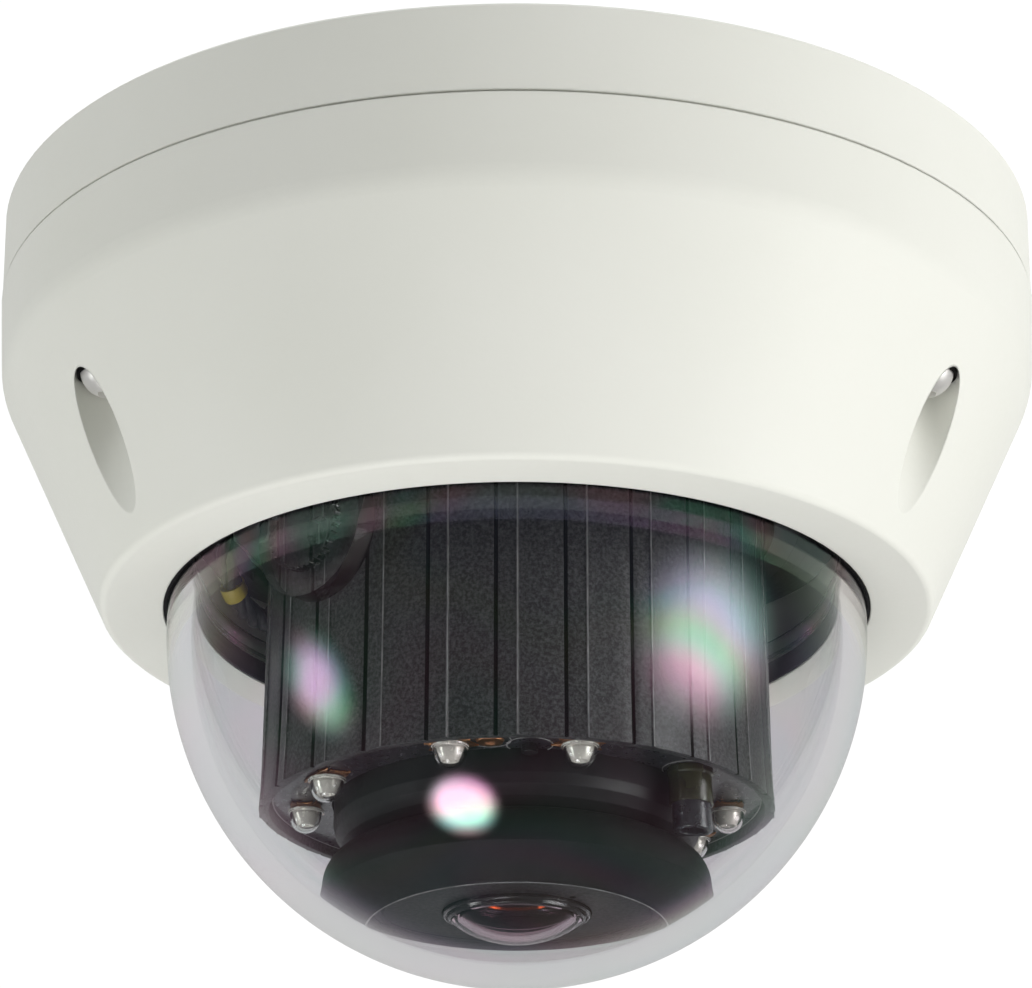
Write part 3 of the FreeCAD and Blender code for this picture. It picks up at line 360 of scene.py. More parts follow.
def housing_paint():
    """Off-white powder coat: a fine orange-peel skin over very slight cloudiness."""
    shader = Shader("housing_paint")
    cloud = shader.noise(25.0, 5.0)
    peel = shader.noise(1150.0, 2.0, 0.55)
    grit = shader.noise(3600.0, 1.0, 0.5)
    shader.link(shader.ramp(cloud, [(0.3, (0.765, 0.772, 0.715, 1)), (0.7, (0.790, 0.795, 0.745, 1))]),
                "Base Color")
    shader.link(shader.span(peel, 0.44, 0.58), "Roughness")
    skin = shader.bump(peel, 0.30, 0.06, shader.soft_edge(0.4))
    shader.link(shader.bump(grit, 0.14, 0.02, skin), "Normal")
    shader.put("Specular IOR Level", 0.30)
    return shader.material


def clear_plastic(name, color, rough=0.0, index=1.49, shadow=0.9, haze=0.01):
    """Clear moulded plastic or glass with faint flow marks."""
    shader = Shader(name)
    flow = shader.noise(35.0, 2.0, 0.4)
    shader.link(shader.ramp(flow, [(0.3, tone(color, 0.985)), (0.7, tone(color, 1.0))]), "Base Color")
    shader.link(shader.span(flow, rough, rough + haze), "Roughness")
    shader.put("Transmission Weight", 1.0)
    shader.put("IOR", index)
    shader.pass_light(shadow)
    return shader


def coated(shader, thickness, spread, film_index, cells):
    """Add a hard coat whose thickness, in nanometres, wanders and tints what it reflects."""
    wander = shader.noise(cells, 1.0, 0.3)
    shader.link(shader.span(wander, thickness - spread, thickness + spread), "Thin Film Thickness")
    shader.put("Thin Film IOR", film_index)
    return shader.material


def grained_black(name, dark, light, rough):
    """Black moulding with a spark-eroded grain that catches light as small specks."""
    shader = Shader(name)
    cloud = shader.noise(90.0, 4.0)
    grain = shader.noise(2100.0, 3.0, 0.75)
    shader.link(shader.ramp(grain, [(0.40, tone((1, 1, 1.06), dark)), (0.72, tone((1, 1, 1.04), light))]),
                "Base Color")
    shader.link(shader.span(cloud, rough - 0.06, rough + 0.06), "Roughness")
    shader.link(shader.bump(grain, 0.8, 0.07), "Normal")
    return shader.material


def braid(name, color):
    """A woven sleeve: diagonal ribs over a mottled dark yarn."""
    shader = Shader(name)
    yarn = shader.noise(900.0, 3.0, 0.6)
    wave = shader.add("ShaderNodeTexWave")
    wave.inputs["Scale"].default_value = 320.0
    wave.inputs["Distortion"].default_value = 2.0
    shader.link(shader.place, wave.inputs["Vector"])
    shader.link(shader.ramp(yarn, [(0.3, tone(color, 0.5)), (0.7, tone(color, 2.0))]), "Base Color")
    shader.put("Roughness", 0.6)
    shader.link(shader.bump(wave.outputs["Fac"], 0.6, 0.2), "Normal")
    return shader.material


BLACK = (0.011, 0.011, 0.012)
MATERIALS = {
    "housing_paint": housing_paint(),
    "clear_dome": coated(clear_plastic("clear_dome", (0.93, 0.93, 0.95), 0.0, 1.585, 0.88, 0.0),
                         thickness=1045.0, spread=240.0, film_index=1.44, cells=34.0),
    "black_rubber": rubber("black_rubber", BLACK),
    "grey_gasket": rubber("grey_gasket", (0.16, 0.14, 0.09), 0.85),
    "green_board": circuit("green_board", (0.012, 0.075, 0.03), 0.35),
    "brass_post": metal("brass_post", (0.70, 0.50, 0.22), 0.28, (1, 1, 20)),
    "zinc_steel": metal("zinc_steel", (0.55, 0.55, 0.53), 0.30),
    "screw_steel": surface("screw_steel", (0.70, 0.69, 0.67), 0.42, metal=0.55, grain=1400.0, depth=0.02),
    "chip_black": plastic("chip_black", (0.020, 0.020, 0.022), 0.50),
    "pad_blue": rubber("pad_blue", (0.20, 0.30, 0.42), 0.70),
    "sink_aluminium": metal("sink_aluminium", (0.55, 0.55, 0.56), 0.34, (1, 12, 1)),
    "jack_steel": metal("jack_steel", (0.62, 0.62, 0.60), 0.25, (12, 1, 1)),
    "terminal_green": plastic("terminal_green", (0.02, 0.20, 0.06), 0.30),
    "can_aluminium": metal("can_aluminium", (0.66, 0.66, 0.68), 0.32),
    "frame_steel": metal("frame_steel", (0.16, 0.16, 0.165), 0.42),
    "liner_black": plastic("liner_black", (0.012, 0.012, 0.013), 0.38),
    "wire_sleeve": braid("wire_sleeve", (0.010, 0.010, 0.011)),
    "sleeve_yellow": plastic("sleeve_yellow", (0.42, 0.33, 0.03), 0.45),
    "plug_white": plastic("plug_white", (0.72, 0.70, 0.64)),
    "shroud_black": grained_black("shroud_black", 0.006, 0.072, 0.46),
    "nylon_white": plastic("nylon_white", (0.70, 0.69, 0.62), 0.45),
    "knob_clear": clear_plastic("knob_clear", (0.90, 0.92, 0.92), 0.01, 1.22, 0.85, 0.03).material,
    "lens_black": rubber("lens_black", (0.009, 0.009, 0.010), 0.45, 0.25),
    "rim_black": surface("rim_black", (0.012, 0.012, 0.013), 0.22, bump=0.04, edge=0.12, coat=0.3),
    "led_board_black": circuit("led_board_black", (0.016, 0.015, 0.019)),
    "led_copper": metal("led_copper", (0.36, 0.17, 0.08), 0.32, spread=0.4),
    "led_clear": clear_plastic("led_clear", (0.99, 0.985, 0.97), 0.0, 1.48, 0.95).material,
    "copper_screw": metal("copper_screw", (0.42, 0.20, 0.10), 0.35, spread=0.15),
    "mic_black": rubber("mic_black", BLACK, 0.55),
    "collar_green": surface("collar_green", (0.026, 0.029, 0.012), 0.22, spread=0.3, bump=0.05, coat=0.5),
    "tube_dark": surface("tube_dark", (0.020, 0.022, 0.026), 0.30, grain=900.0, bump=0.03, coat=0.6),
    "lens_glass": clear_plastic("lens_glass", (0.74, 0.60, 0.66), 0.0, 1.38, 0.8, 0.0).material,
    "filter_red": clear_plastic("filter_red", (0.80, 0.40, 0.38), 0.0, 1.52, 0.8).material,
    "filter_clear": clear_plastic("filter_clear", (0.92, 0.96, 0.96), 0.0, 1.52, 0.9).material,
}

# Finishes of details that share a slot with the piece they sit on.
EXTRA = {
    "print_white": plastic("print_white", (0.34, 0.34, 0.33), 0.50),
    "pad_gold": metal("pad_gold", (0.62, 0.50, 0.22), 0.32),
    "cup_silver": surface("cup_silver", (0.74, 0.72, 0.67), 0.24, metal=0.35, spread=0.04, bump=0.05),
    "die_dark": surface("die_dark", (0.16, 0.10, 0.06), 0.35, spread=0.3, grain=2500.0),
    # Painted highlight: a lighter grey laid on raised ridges and beads where their edges would catch the
    # light.
    "painted_ridge_highlight": surface("painted_ridge_highlight", (0.16, 0.16, 0.16), 0.40, spread=0.5, cloud=400.0, grain=2500.0),
    # Painted shade: near-black laid in grooves and at the tops of the screw wells, where shade falls.
    "painted_shade_black": rubber("painted_shade_black", (0.003, 0.003, 0.003), 0.8),
    # Amber mirror finish: the inner element's coating, and on one baffle riser a painted glint standing in
    # for reflections off the coated inner glass.
    "amber_coat_and_glint": surface("amber_coat_and_glint", (0.55, 0.13, 0.03), 0.12, metal=0.9, spread=0.3, bump=0.02),
}

SLOT_OF = {entry["node"]: entry["material_slot"] for entry in frame["record"]["subparts"]}
for node_name, item in NODES.items():
    item.data.materials.clear()
    item.data.materials.append(MATERIALS[SLOT_OF[node_name]])


def dress(item, body, slot, replaces=(), finish=None, angle=32.0):
    """Finish a new piece: material, shading, the body it rides on and the CAD nodes it stands for."""
    item.data.materials.clear()
    item.data.materials.append(EXTRA[finish] if finish else MATERIALS[slot])
    smooth(item, angle)
    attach(item, body)
    if replaces:
        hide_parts(*replaces)
    return item


def refinish(item, finish, nearest, furthest, below=math.inf, upright=False):
    """Give another finish to the faces between two radii, under a height, or upright ones only."""
    item.data.materials.append(EXTRA[finish])
    for face in item.data.polygons:
        reach = math.hypot(face.center.x, face.center.y) / MM
        if upright and abs(face.normal.z) > 0.5:
            continue
        if nearest < reach < furthest and face.center.z / MM < below:
            face.material_index = len(item.data.materials) - 1


# ---------------------------------------------------------------- driving sizes, in millimetres

DOME_BOTTOM = low("dome_bubble")
DOME_RADIUS = 50.11
DOME_WALL = 3.51
DOME_CENTRE = DOME_BOTTOM + DOME_RADIUS
FLANGE_TOP = high("dome_bubble")
FLANGE_RADIUS = high("dome_bubble", 0)
FLANGE_BOTTOM = high("dome_seal")
SHROUD_RADIUS = 36.0
SHROUD_GROOVE = 35.35
SHROUD_BORE = 34.4
SHROUD_TOP = high("module_shroud")
SHROUD_BOTTOM = low("module_shroud")
PANELS = 24
CAPTIVE_SCREWS = ("screw_left", "screw_right", "screw_rear")
CROWN_SHARE = 1.02
LED_BEARINGS = [-17.5, 16.5, -60.5, -90.0, 90.0, 119.5, 163.0, -163.0]
LED_CIRCLE = 29.5
LED_RADIUS = 2.25
LED_TIP = low("led_lenses")
BOARD_FACE = low("led_board")
BOARD_RADIUS = high("led_board", 0)
SCREW_CIRCLE = 29.3
SCREW_BEARINGS = [-7.0, 173.0]
GLASS_TIP = low("front_glass")
GLASS_TOP = high("front_glass")
GLASS_RADIUS = high("front_glass", 0)
GLASS_CURVE = 16.35
THROAT_RADIUS = GLASS_RADIUS - 1.5
RIM_RADIUS = high("lens_front_ring", 0)
RIM_TOP = high("lens_front_ring")
RIM_BOTTOM = low("lens_front_ring")
FACE_RADIUS = high("lens_body", 0)
LENS_FACE = low("lens_body")
HOOD_TOP = high("lens_hood")
HOOD_RADIUS = high("lens_hood", 0)
HOOD_BORE = 20.05
HOOD_NECK = 22.6
HOOD_GRIP = 21.25


# ---------------------------------------------------------------- dome and cover

def build_dome():
    inner = DOME_RADIUS - DOME_WALL
    outside = arc_points(DOME_RADIUS, DOME_CENTRE, 0.0, 90.0, 72)
    inside = arc_points(inner, DOME_CENTRE, 0.0, 90.0, 72)
    profile = [(FLANGE_RADIUS, FLANGE_TOP), (FLANGE_RADIUS, FLANGE_BOTTOM), (DOME_RADIUS, FLANGE_BOTTOM)]
    profile += outside + inside[::-1] + [(inner, FLANGE_TOP)]
    dress(lathe("dome_shell", profile, 256), "cover", "clear_dome", ["dome_bubble"])


def build_captive_screws():
    """Near-spherical screw heads with a six-sided socket and a washer face under each."""
    shank = 2.0
    chamfer = 0.5
    washer_face = 0.5
    socket_share = 0.36
    socket_deep = 2.2
    top = low("screw_washers")
    for node in CAPTIVE_SCREWS:
        centre = middle(node)
        spot = (centre.x, centre.y)
        end = high(node)
        tip = low(node)
        head = high(node, 0) - centre.x
        crown = head * CROWN_SHARE
        ball = arc_points(crown, tip + crown, 4.0, 90.0, 16)
        profile = [(0.0, end), (shank - chamfer, end), (shank, end - chamfer), (shank, top)]
        profile += [(head, top), (head, top - washer_face)]
        profile += [point for point in ball if point[1] < top - washer_face - 0.05]
        blank = lathe(node + "_head", profile, 64, spot)
        socket = [tuple(at(head * socket_share, 60.0 * step)[:2]) for step in range(6)]
        cut_from(blank, placed(prism("socket", socket, tip - 1.0, tip + socket_deep), (*spot, 0.0)))
        dress(beveled(blank, 0.06, 2, 50.0), node, "screw_steel", [node], angle=40.0)


def build_washers():
    """Soft black washers whose skirts stand round the screw heads at the tops of the wells; the skirts'
    near-black finish is painted shade for the dark well tops.
    """
    bore = 2.2
    skirt_deep = 1.9
    clearance = 0.06
    top = high("screw_washers")
    rim = top - skirt_deep
    base = low("screw_washers") + 0.03
    outer = high("screw_washers", 0) - middle("screw_right").x
    rings = []
    for node in CAPTIVE_SCREWS:
        centre = middle(node)
        inner = (high(node, 0) - centre.x) * CROWN_SHARE + clearance
        profile = [(bore, top), (outer, top), (outer, rim), (inner, rim), (inner, base), (bore, base)]
        rings.append(lathe("washer", profile, 64, (centre.x, centre.y)))
    # The washers are real, but their tall skirts and near-black finish are painted shade filling the dark
    # tops of the wells.
    dress(merged("washer_skirts", rings), "cover", "screw_steel", ["screw_washers"], "painted_shade_black")


# ---------------------------------------------------------------- camera module

def skirt_outline():
    """The skirt seen from above: round, with a thin raised line and a thin groove to each panel."""
    pitch = 360.0 / PANELS
    split = pitch * 0.7
    wall = SHROUD_RADIUS - 0.28
    groove = SHROUD_GROOVE - 0.15
    line_wide = 0.22
    half_groove = 0.25
    margin = 0.5
    steps = 4
    corners = [(0.0, SHROUD_RADIUS), (line_wide, SHROUD_RADIUS), (margin, wall)]
    corners += [(margin + (split - 2 * margin) * step / steps, wall) for step in range(1, steps + 1)]
    corners += [(split - half_groove, groove), (split + half_groove, groove), (split + margin, wall - 0.1)]
    corners += [(pitch - 2.4, wall), (pitch - 0.3, wall)]
    points = [at(radius, index * pitch + turn) for index in range(PANELS) for turn, radius in corners]
    return [(point.x, point.y) for point in points]


def build_shroud():
    """The skirt round the board, with a painted highlight on its raised lines and painted shade in its
    grooves.
    """
    over = 1.0
    skirt = prism("module_skirt", skirt_outline(), SHROUD_BOTTOM, SHROUD_TOP)
    bore = [(0.0, SHROUD_BOTTOM - over), (SHROUD_BORE, SHROUD_BOTTOM - over),
            (SHROUD_BORE, SHROUD_TOP + over), (0.0, SHROUD_TOP + over)]
    cut_from(skirt, lathe("bore", bore, 128))
    dress(beveled(skirt, 0.06, 2, 20.0), "camera_module", "shroud_black", ["module_shroud"], angle=25.0)
    # Painted highlight on the raised lines, where the facet edges would catch the light, and painted shade in
    # the grooves.
    refinish(skirt, "painted_ridge_highlight", SHROUD_RADIUS - 0.12, math.inf, upright=True)
    refinish(skirt, "painted_shade_black", SHROUD_BORE + 0.2, SHROUD_GROOVE + 0.2, upright=True)


def led_frame(bearing):
    """The stamped lead frame under a diode: a plate with two ragged legs at each end."""
    half_deep = 2.1
    half_wide = 2.0
    long_leg = 3.6
    short_leg = 2.9
    outline = []
    for side_x, side_y in ((1, -1), (1, 1), (-1, 1), (-1, -1)):
        legs = [(half_wide, half_deep), (long_leg, half_deep * 0.80), (long_leg - 0.3, half_deep * 0.55),
                (half_wide + 0.2, half_deep * 0.45), (short_leg, half_deep * 0.25)]
        legs = [(x * side_x, y * side_y) for x, y in legs]
        outline += legs if side_x * side_y < 0 else legs[::-1]
    order = sorted(outline, key=lambda point: math.atan2(point[1], point[0]))
    plate = beveled(prism("led_plate", order, BOARD_FACE - 0.30, BOARD_FACE), 0.08, 2)
    return placed(plate, at(LED_CIRCLE, bearing), bearing)


def led_cup(centre):
    """A white reflector that narrows into the bullet, with the die's well in its mouth."""
    top = BOARD_FACE - 0.40
    mouth = LED_TIP + 1.05
    outer = LED_RADIUS - 0.45
    flange = outer + 0.45
    waist = LED_TIP + LED_RADIUS + 0.30
    well = 0.55
    well_top = mouth + 0.8
    profile = [(0.0, top), (flange, top), (flange, top - 0.35), (outer, top - 0.45), (outer, waist),
               (1.15, mouth), (0.90, mouth), (well, well_top), (0.0, well_top)]
    return lathe("cup", rounded(profile, 0.08, 2), 40, centre)


def led_lens(centre):
    """The clear bullet over the cup: a foot ring and a shell of even thickness."""
    top = BOARD_FACE - 0.55
    foot = LED_RADIUS + 0.30
    inner = LED_RADIUS - 0.34
    centre_z = LED_TIP + LED_RADIUS
    profile = [(inner, top), (foot, top), (foot, top - 0.28), (LED_RADIUS, top - 0.36)]
    profile += arc_points(LED_RADIUS, centre_z, 0.0, 90.0, 14)
    profile += arc_points(inner, centre_z, 0.0, 90.0, 14)[::-1]
    return lathe("bullet", profile, 40, centre)


def build_leds():
    """Eight diodes: a lead frame, a reflector cup, a die and a clear bullet for each."""
    chip_half = 0.45
    chip_thick = 0.3
    chip_face = LED_TIP + 1.75
    chip = [(-chip_half, -chip_half), (chip_half, -chip_half), (chip_half, chip_half),
            (-chip_half, chip_half)]
    plates = []
    cups = []
    lenses = []
    dies = []
    for bearing in LED_BEARINGS:
        centre = at(LED_CIRCLE, bearing)
        plates.append(led_frame(bearing))
        cups.append(led_cup((centre.x, centre.y)))
        lenses.append(led_lens((centre.x, centre.y)))
        dies.append(placed(prism("die", chip, chip_face, chip_face + chip_thick), centre, bearing))
    dress(merged("led_plates", plates), "camera_module", "led_copper", ["led_bases"])
    dress(merged("led_cups", cups), "camera_module", "led_clear", finish="cup_silver")
    dress(merged("led_dies", dies), "camera_module", "led_copper", finish="die_dark")
    dress(merged("led_domes", lenses), "camera_module", "led_clear", ["led_lenses"])


def thin_ring(radius, width, centre=(0.0, 0.0), segments=96):
    """A printed line: a flat ring a twentieth of a millimetre proud of the board."""
    proud = 0.05
    sunk = 0.02
    profile = [(radius - width, BOARD_FACE + sunk), (radius, BOARD_FACE + sunk),
               (radius, BOARD_FACE - proud), (radius - width, BOARD_FACE - proud)]
    return lathe("line", profile, segments, centre)


def build_board_print():
    """White circles round the screw, microphone and light sensor, an edge line, and gold pads."""
    screw = at(SCREW_CIRCLE, SCREW_BEARINGS[0])
    mic = middle("microphone")
    sensor = middle("light_sensor")
    lines = [
        thin_ring(SHROUD_BORE - 0.35, 0.16, segments=192),
        thin_ring(2.85, 0.14, (screw.x, screw.y), 64),
        thin_ring(3.15, 0.14, (mic.x, mic.y), 64),
        thin_ring(3.75, 0.12, (sensor.x, sensor.y), 64),
    ]
    dress(merged("board_print", lines), "camera_module", "led_board_black", finish="print_white")
    pads = []
    count = 6
    wide = 0.22
    long = 0.4
    pad = [(-wide, -long), (wide, -long), (wide, long), (-wide, long)]
    for first, last in ((-41.0, -33.0), (43.0, 51.0)):
        for step in range(count):
            bearing = first + (last - first) * step / (count - 1)
            pads.append(placed(prism("pad", pad, BOARD_FACE - 0.06, BOARD_FACE + 0.02),
                               at(BOARD_RADIUS - 1.45, bearing), bearing))
    dress(merged("board_pads", pads), "camera_module", "led_copper", finish="pad_gold")


def build_board_screws():
    """Two low copper-coloured heads with a round drive hole."""
    shank = 0.9
    end = BOARD_FACE + 4.0
    head = 1.9
    face = BOARD_FACE - 0.45
    drive = 0.55
    drive_end = face + 0.3
    profile = [(0.0, end), (shank, end), (shank, BOARD_FACE), (head, BOARD_FACE), (1.75, face + 0.12),
               (1.45, face), (0.75, face), (drive, drive_end), (0.0, drive_end)]
    heads = []
    for bearing in SCREW_BEARINGS:
        point = at(SCREW_CIRCLE, bearing)
        heads.append(lathe("head", profile, 40, (point.x, point.y)))
    dress(merged("board_screw_heads", heads), "camera_module", "copper_screw", ["led_board_screws"])


def build_light_sensor():
    """A tinted collar with a lip at the board and a dark glossy tube in it, hollow at its end."""
    centre = middle("light_sensor")
    spot = (centre.x, centre.y)
    lip = high("light_sensor", 0) - centre.x
    wide = lip - 0.22
    tube = high("light_sensor_tube", 0) - middle("light_sensor_tube").x
    foot = low("light_sensor")
    end = low("light_sensor_tube")
    fit = tube + 0.03
    collar = [(fit, BOARD_FACE), (lip, BOARD_FACE), (lip, BOARD_FACE - 0.9), (wide, BOARD_FACE - 1.15),
              (wide, foot), (fit, foot)]
    dress(lathe("sensor_collar", rounded(collar, 0.14), 64, spot), "camera_module", "collar_green",
          ["light_sensor"])
    bore = tube - 0.9
    root = BOARD_FACE - 0.3
    well = end + 1.8
    body = [(0.0, root), (tube, root), (tube, end), (bore, end), (bore, well), (0.0, well)]
    dress(lathe("sensor_tube", rounded(body, 0.15), 64, spot), "camera_module", "tube_dark",
          ["light_sensor_tube"])


def build_hood():
    """The rubber collar: a quarter-round shoulder, and a lower face that follows the dome."""
    shoulder_deep = 3.9
    shoulder_steps = 12
    face_steps = 16
    clear = DOME_RADIUS - DOME_WALL - 0.3
    reach = HOOD_RADIUS - HOOD_NECK
    shelf = low("lens_holder") - 0.3
    profile = [(HOOD_GRIP, HOOD_TOP)]
    for step in range(shoulder_steps + 1):
        turn = math.radians(90.0 * step / shoulder_steps)
        profile.append((HOOD_NECK + reach * math.sin(turn), HOOD_TOP - shoulder_deep * (1 - math.cos(turn))))
    for step in range(face_steps + 1):
        radius = HOOD_RADIUS - (HOOD_RADIUS - HOOD_BORE) * step / face_steps
        profile.append((radius, DOME_CENTRE - math.sqrt(clear ** 2 - radius ** 2)))
    mouth = profile[-1][1]
    # A fine bead runs round the mouth, and a painted highlight lies along it.
    profile[-1:] = [(HOOD_BORE + 0.55, mouth + 0.28), (HOOD_BORE + 0.35, mouth + 0.06),
                    (HOOD_BORE + 0.12, mouth + 0.02), (HOOD_BORE, mouth + 0.2)]
    profile += [(HOOD_BORE, shelf), (HOOD_GRIP, shelf)]
    hood = lathe("hood_collar", profile, 256)
    dress(hood, "camera_module", "black_rubber", ["lens_hood"], angle=38.0)
    # The bead's pale band is a painted highlight.
    refinish(hood, "painted_ridge_highlight", HOOD_BORE + 0.1, HOOD_BORE + 0.4, below=mouth + 0.3)


# ---------------------------------------------------------------- lens

def build_lens_face():
    """The lens barrel's end: a lipped black face with a fine groove and one set screw hole."""
    throat = GLASS_RADIUS - 1.4
    bore = RIM_RADIUS + 0.1
    ledge = RIM_TOP + 0.1
    barrel = 17.0
    back = LENS_FACE + 6.0
    rear = low("lens_holder") - 0.5
    groove = FACE_RADIUS - 1.1
    groove_top = LENS_FACE + 0.2
    profile = [
        (bore, back), (barrel, back), (barrel, rear), (FACE_RADIUS, rear), (FACE_RADIUS, LENS_FACE),
        (groove + 0.22, LENS_FACE), (groove + 0.18, groove_top), (groove - 0.18, groove_top),
        (groove - 0.22, LENS_FACE), (bore, LENS_FACE), (bore, ledge), (throat, ledge), (throat, back - 2.0),
    ]
    face = lathe("lens_face", rounded(profile, 0.12, 3), 192)
    screw = at(11.3, 42.0)
    hole = 0.45
    hole_start = LENS_FACE - 1.0
    hole_end = LENS_FACE + 1.2
    drill = lathe("hole", [(0.0, hole_start), (hole, hole_start), (hole, hole_end), (0.0, hole_end)], 24,
                  (screw.x, screw.y))
    dress(cut_from(face, drill), "focus_lens", "lens_black", ["lens_body"])


def build_rim():
    """The threaded rim round the front glass: an outer bead, a groove and a lip over the glass."""
    inner = GLASS_RADIUS + 0.05
    outer = RIM_RADIUS
    bottom = RIM_BOTTOM
    profile = [
        (inner, RIM_TOP), (outer, RIM_TOP), (outer, bottom + 0.75), (outer - 0.15, bottom + 0.55),
        (outer - 0.38, bottom + 0.55), (outer - 0.48, bottom + 0.85), (outer - 0.60, bottom + 0.85),
        (outer - 0.72, bottom + 0.22), (inner + 0.12, bottom), (inner, bottom + 0.1),
    ]
    dress(lathe("lens_rim", rounded(profile, 0.06, 3), 192), "focus_lens", "rim_black", ["lens_front_ring"])


def build_front_glass():
    """The domed front element: a shell whose inner face curves more than its outer one."""
    wall = 1.3
    curve_centre = GLASS_TIP + GLASS_CURVE
    edge = math.degrees(math.acos(GLASS_RADIUS / GLASS_CURVE))
    outside = arc_points(GLASS_CURVE, curve_centre, edge, 90.0, 24)
    inner_curve = GLASS_CURVE - wall - 2.2
    inner_centre = GLASS_TIP + wall + inner_curve
    inner_edge = math.degrees(math.acos(THROAT_RADIUS / inner_curve))
    inside = arc_points(inner_curve, inner_centre, inner_edge, 90.0, 20)
    profile = outside + inside[::-1] + [(THROAT_RADIUS, GLASS_TOP), (GLASS_RADIUS, GLASS_TOP)]
    dress(lathe("front_element", profile, 128), "focus_lens", "lens_glass", ["front_glass"])


def build_throat():
    """The stepped baffle behind the front glass, with one amber riser whose mirror finish is a painted glint,
    and the amber element in it.
    """
    iris = low("aperture_ring")
    opening = 3.2
    steps = 5
    narrowing = THROAT_RADIUS - opening
    riser = 0.12
    riser_deep = 0.34
    cone = [(THROAT_RADIUS, GLASS_TOP + 0.05)]
    for step in range(1, steps + 1):
        radius = THROAT_RADIUS - narrowing * step / steps
        cone += [(radius + riser, cone[-1][1]), (radius, cone[-1][1] + riser_deep)]
    cone += [(opening, iris + 1.2), (THROAT_RADIUS, iris + 1.2)]
    baffle = dress(lathe("throat_baffle", cone, 96), "focus_lens", "rim_black", ["aperture_ring"], angle=20.0)
    # One riser gets an amber mirror finish, a painted glint that stands in for reflections off the coated
    # inner glass.
    tinted = THROAT_RADIUS - narrowing * 2.0 / steps + riser / 2
    refinish(baffle, "amber_coat_and_glint", tinted - 0.05, tinted + 0.05, below=iris + 2.0)

    bulge = 6.2
    half = 5.2
    crown = iris + 0.55
    front = arc_points(bulge, crown + bulge, math.degrees(math.acos(half / bulge)), 90.0, 16)
    back = high("inner_glass")
    dress(lathe("second_element", front + [(0.0, back), (half, back)], 96), "focus_lens", "lens_glass",
          ["inner_glass"], "amber_coat_and_glint")


# ---------------------------------------------------------------- wires

def spline_points(route, order=3):
    """Points along a smooth curve that has the route as its control points."""
    curve = bpy.data.curves.new("route", "CURVE")
    curve.dimensions = "3D"
    line = curve.splines.new("NURBS")
    line.points.add(len(route) - 1)
    for point, target in zip(line.points, route):
        point.co = (target.x, target.y, target.z, 1.0)
    line.order_u = order
    line.use_endpoint_u = True
    line.resolution_u = 10
    item = new_object("route", curve)
    graph = bpy.context.evaluated_depsgraph_get()
    mesh = bpy.data.meshes.new_from_object(item.evaluated_get(graph))
    points = [vertex.co.copy() for vertex in mesh.vertices]
    bpy.data.objects.remove(item)
    return points


def strand(name, points, radius, sides=10):
    """A closed tube along points in millimetres."""
    rings = []
    for index, point in enumerate(points):
        ahead = (points[min(index + 1, len(points) - 1)] - points[max(index - 1, 0)]).normalized()
        side = ahead.cross(Vector((0.31, 0.87, 0.38))).normalized()
        up = ahead.cross(side)
        rings.append([point + (side * math.cos(turn) + up * math.sin(turn)) * radius
                      for turn in (2 * math.pi * step / sides for step in range(sides))])
    corners = [corner for ring in rings for corner in ring]
    faces = []
    for index in range(len(rings) - 1):
        for step in range(sides):
            following = (step + 1) % sides
            start = index * sides
            faces.append([start + step, start + following, start + sides + following, start + sides + step])
    faces.append(list(range(sides))[::-1])
    faces.append([len(corners) - sides + step for step in range(sides)])
    return mesh_from(name, corners, faces)


def build_harness():
    """Four sleeved wires twisted round the bundle's route, which hangs in one U."""
    distance = 42.0
    bearing = -108.0
    half = 11.0
    top = high("harness_loop")
    bottom = low("harness_loop") + 1.9
    count = 4
    wire = 0.84
    lay = 17.0
    across = Vector((math.cos(math.radians(bearing)), math.sin(math.radians(bearing)), 0.0))
    middle_line = at(distance, bearing)
    shape = [(-half, top), (-half, top - 11), (-half, bottom + 9), (-half + 1.6, bottom + 1.8),
             (-half + 7, bottom - 0.1), (0.0, bottom + 0.2), (half - 7, bottom - 0.1),
             (half - 1.6, bottom + 1.8), (half, bottom + 9), (half, top - 11), (half, top)]
    route = spline_points([middle_line + across * aside + Vector((0, 0, z)) for aside, z in shape])
    wires = []
    for index in range(count):
        points = []
        travelled = 0.0
        for place, point in enumerate(route):
            ahead = (route[min(place + 1, len(route) - 1)] - route[max(place - 1, 0)]).normalized()
            if place:
                travelled += (point - route[place - 1]).length
            side = ahead.cross(middle_line.normalized()).normalized()
            up = ahead.cross(side)
            turn = 2 * math.pi * (travelled / lay + index / count)
            swell = 0.86 + 0.20 * math.sin(travelled * 0.9 + index * 1.7)
            points.append(point + (side * math.cos(turn) + up * math.sin(turn)) * swell)
        wires.append(strand("wire", points, wire))
    dress(merged("harness_wires", wires), "base", "wire_sleeve", ["harness_loop"], angle=60.0)

    # The tape mark hugs the bundle where it turns up at the front end of the run.
    mark = 2.12
    low_part = [point for point in route if point.z < bottom + 1.8]
    front_end = [point for point in low_part if (point - middle_line).dot(across) > 6.0]
    tape = strand("harness_mark", front_end, mark, 24)
    dress(tape, "base", "sleeve_yellow", ["harness_sleeve"], angle=50.0)


# ---------------------------------------------------------------- camera, light and floor

# Brightness of the studio: in front, behind at eye level and low down, overhead, and seen directly.
FRONT_LEVEL = 0.12
BACK_LEVEL = 0.64
BACK_LOW = 0.60
OVERHEAD = 1.34
BACKDROP = 1.05
# Where the studio fades from one to the next: Z is the upward and Y the backward part of a direction.
LOW_ENDS = (-0.60, -0.25)
LOW_BACK = (0.70, 0.96)
BACK_RISE = (-0.30, 0.10)
SIDES = (0.05, 0.80)
OVERHEAD_STARTS = (0.50, 0.68)


def build_camera():
    view = bpy.data.cameras.new("camera")
    view.lens = 165.3
    view.sensor_width = 36.0
    view.clip_start = 0.01
    view.clip_end = 50.0
    camera = new_object("camera", view)
    camera.location = (-0.00013, -0.63600, -0.30167)
    target = Vector((-0.00013, 0.0, -0.04022))
    camera.rotation_euler = (target - camera.location).to_track_quat("-Z", "Y").to_euler()
    bpy.context.scene.camera = camera


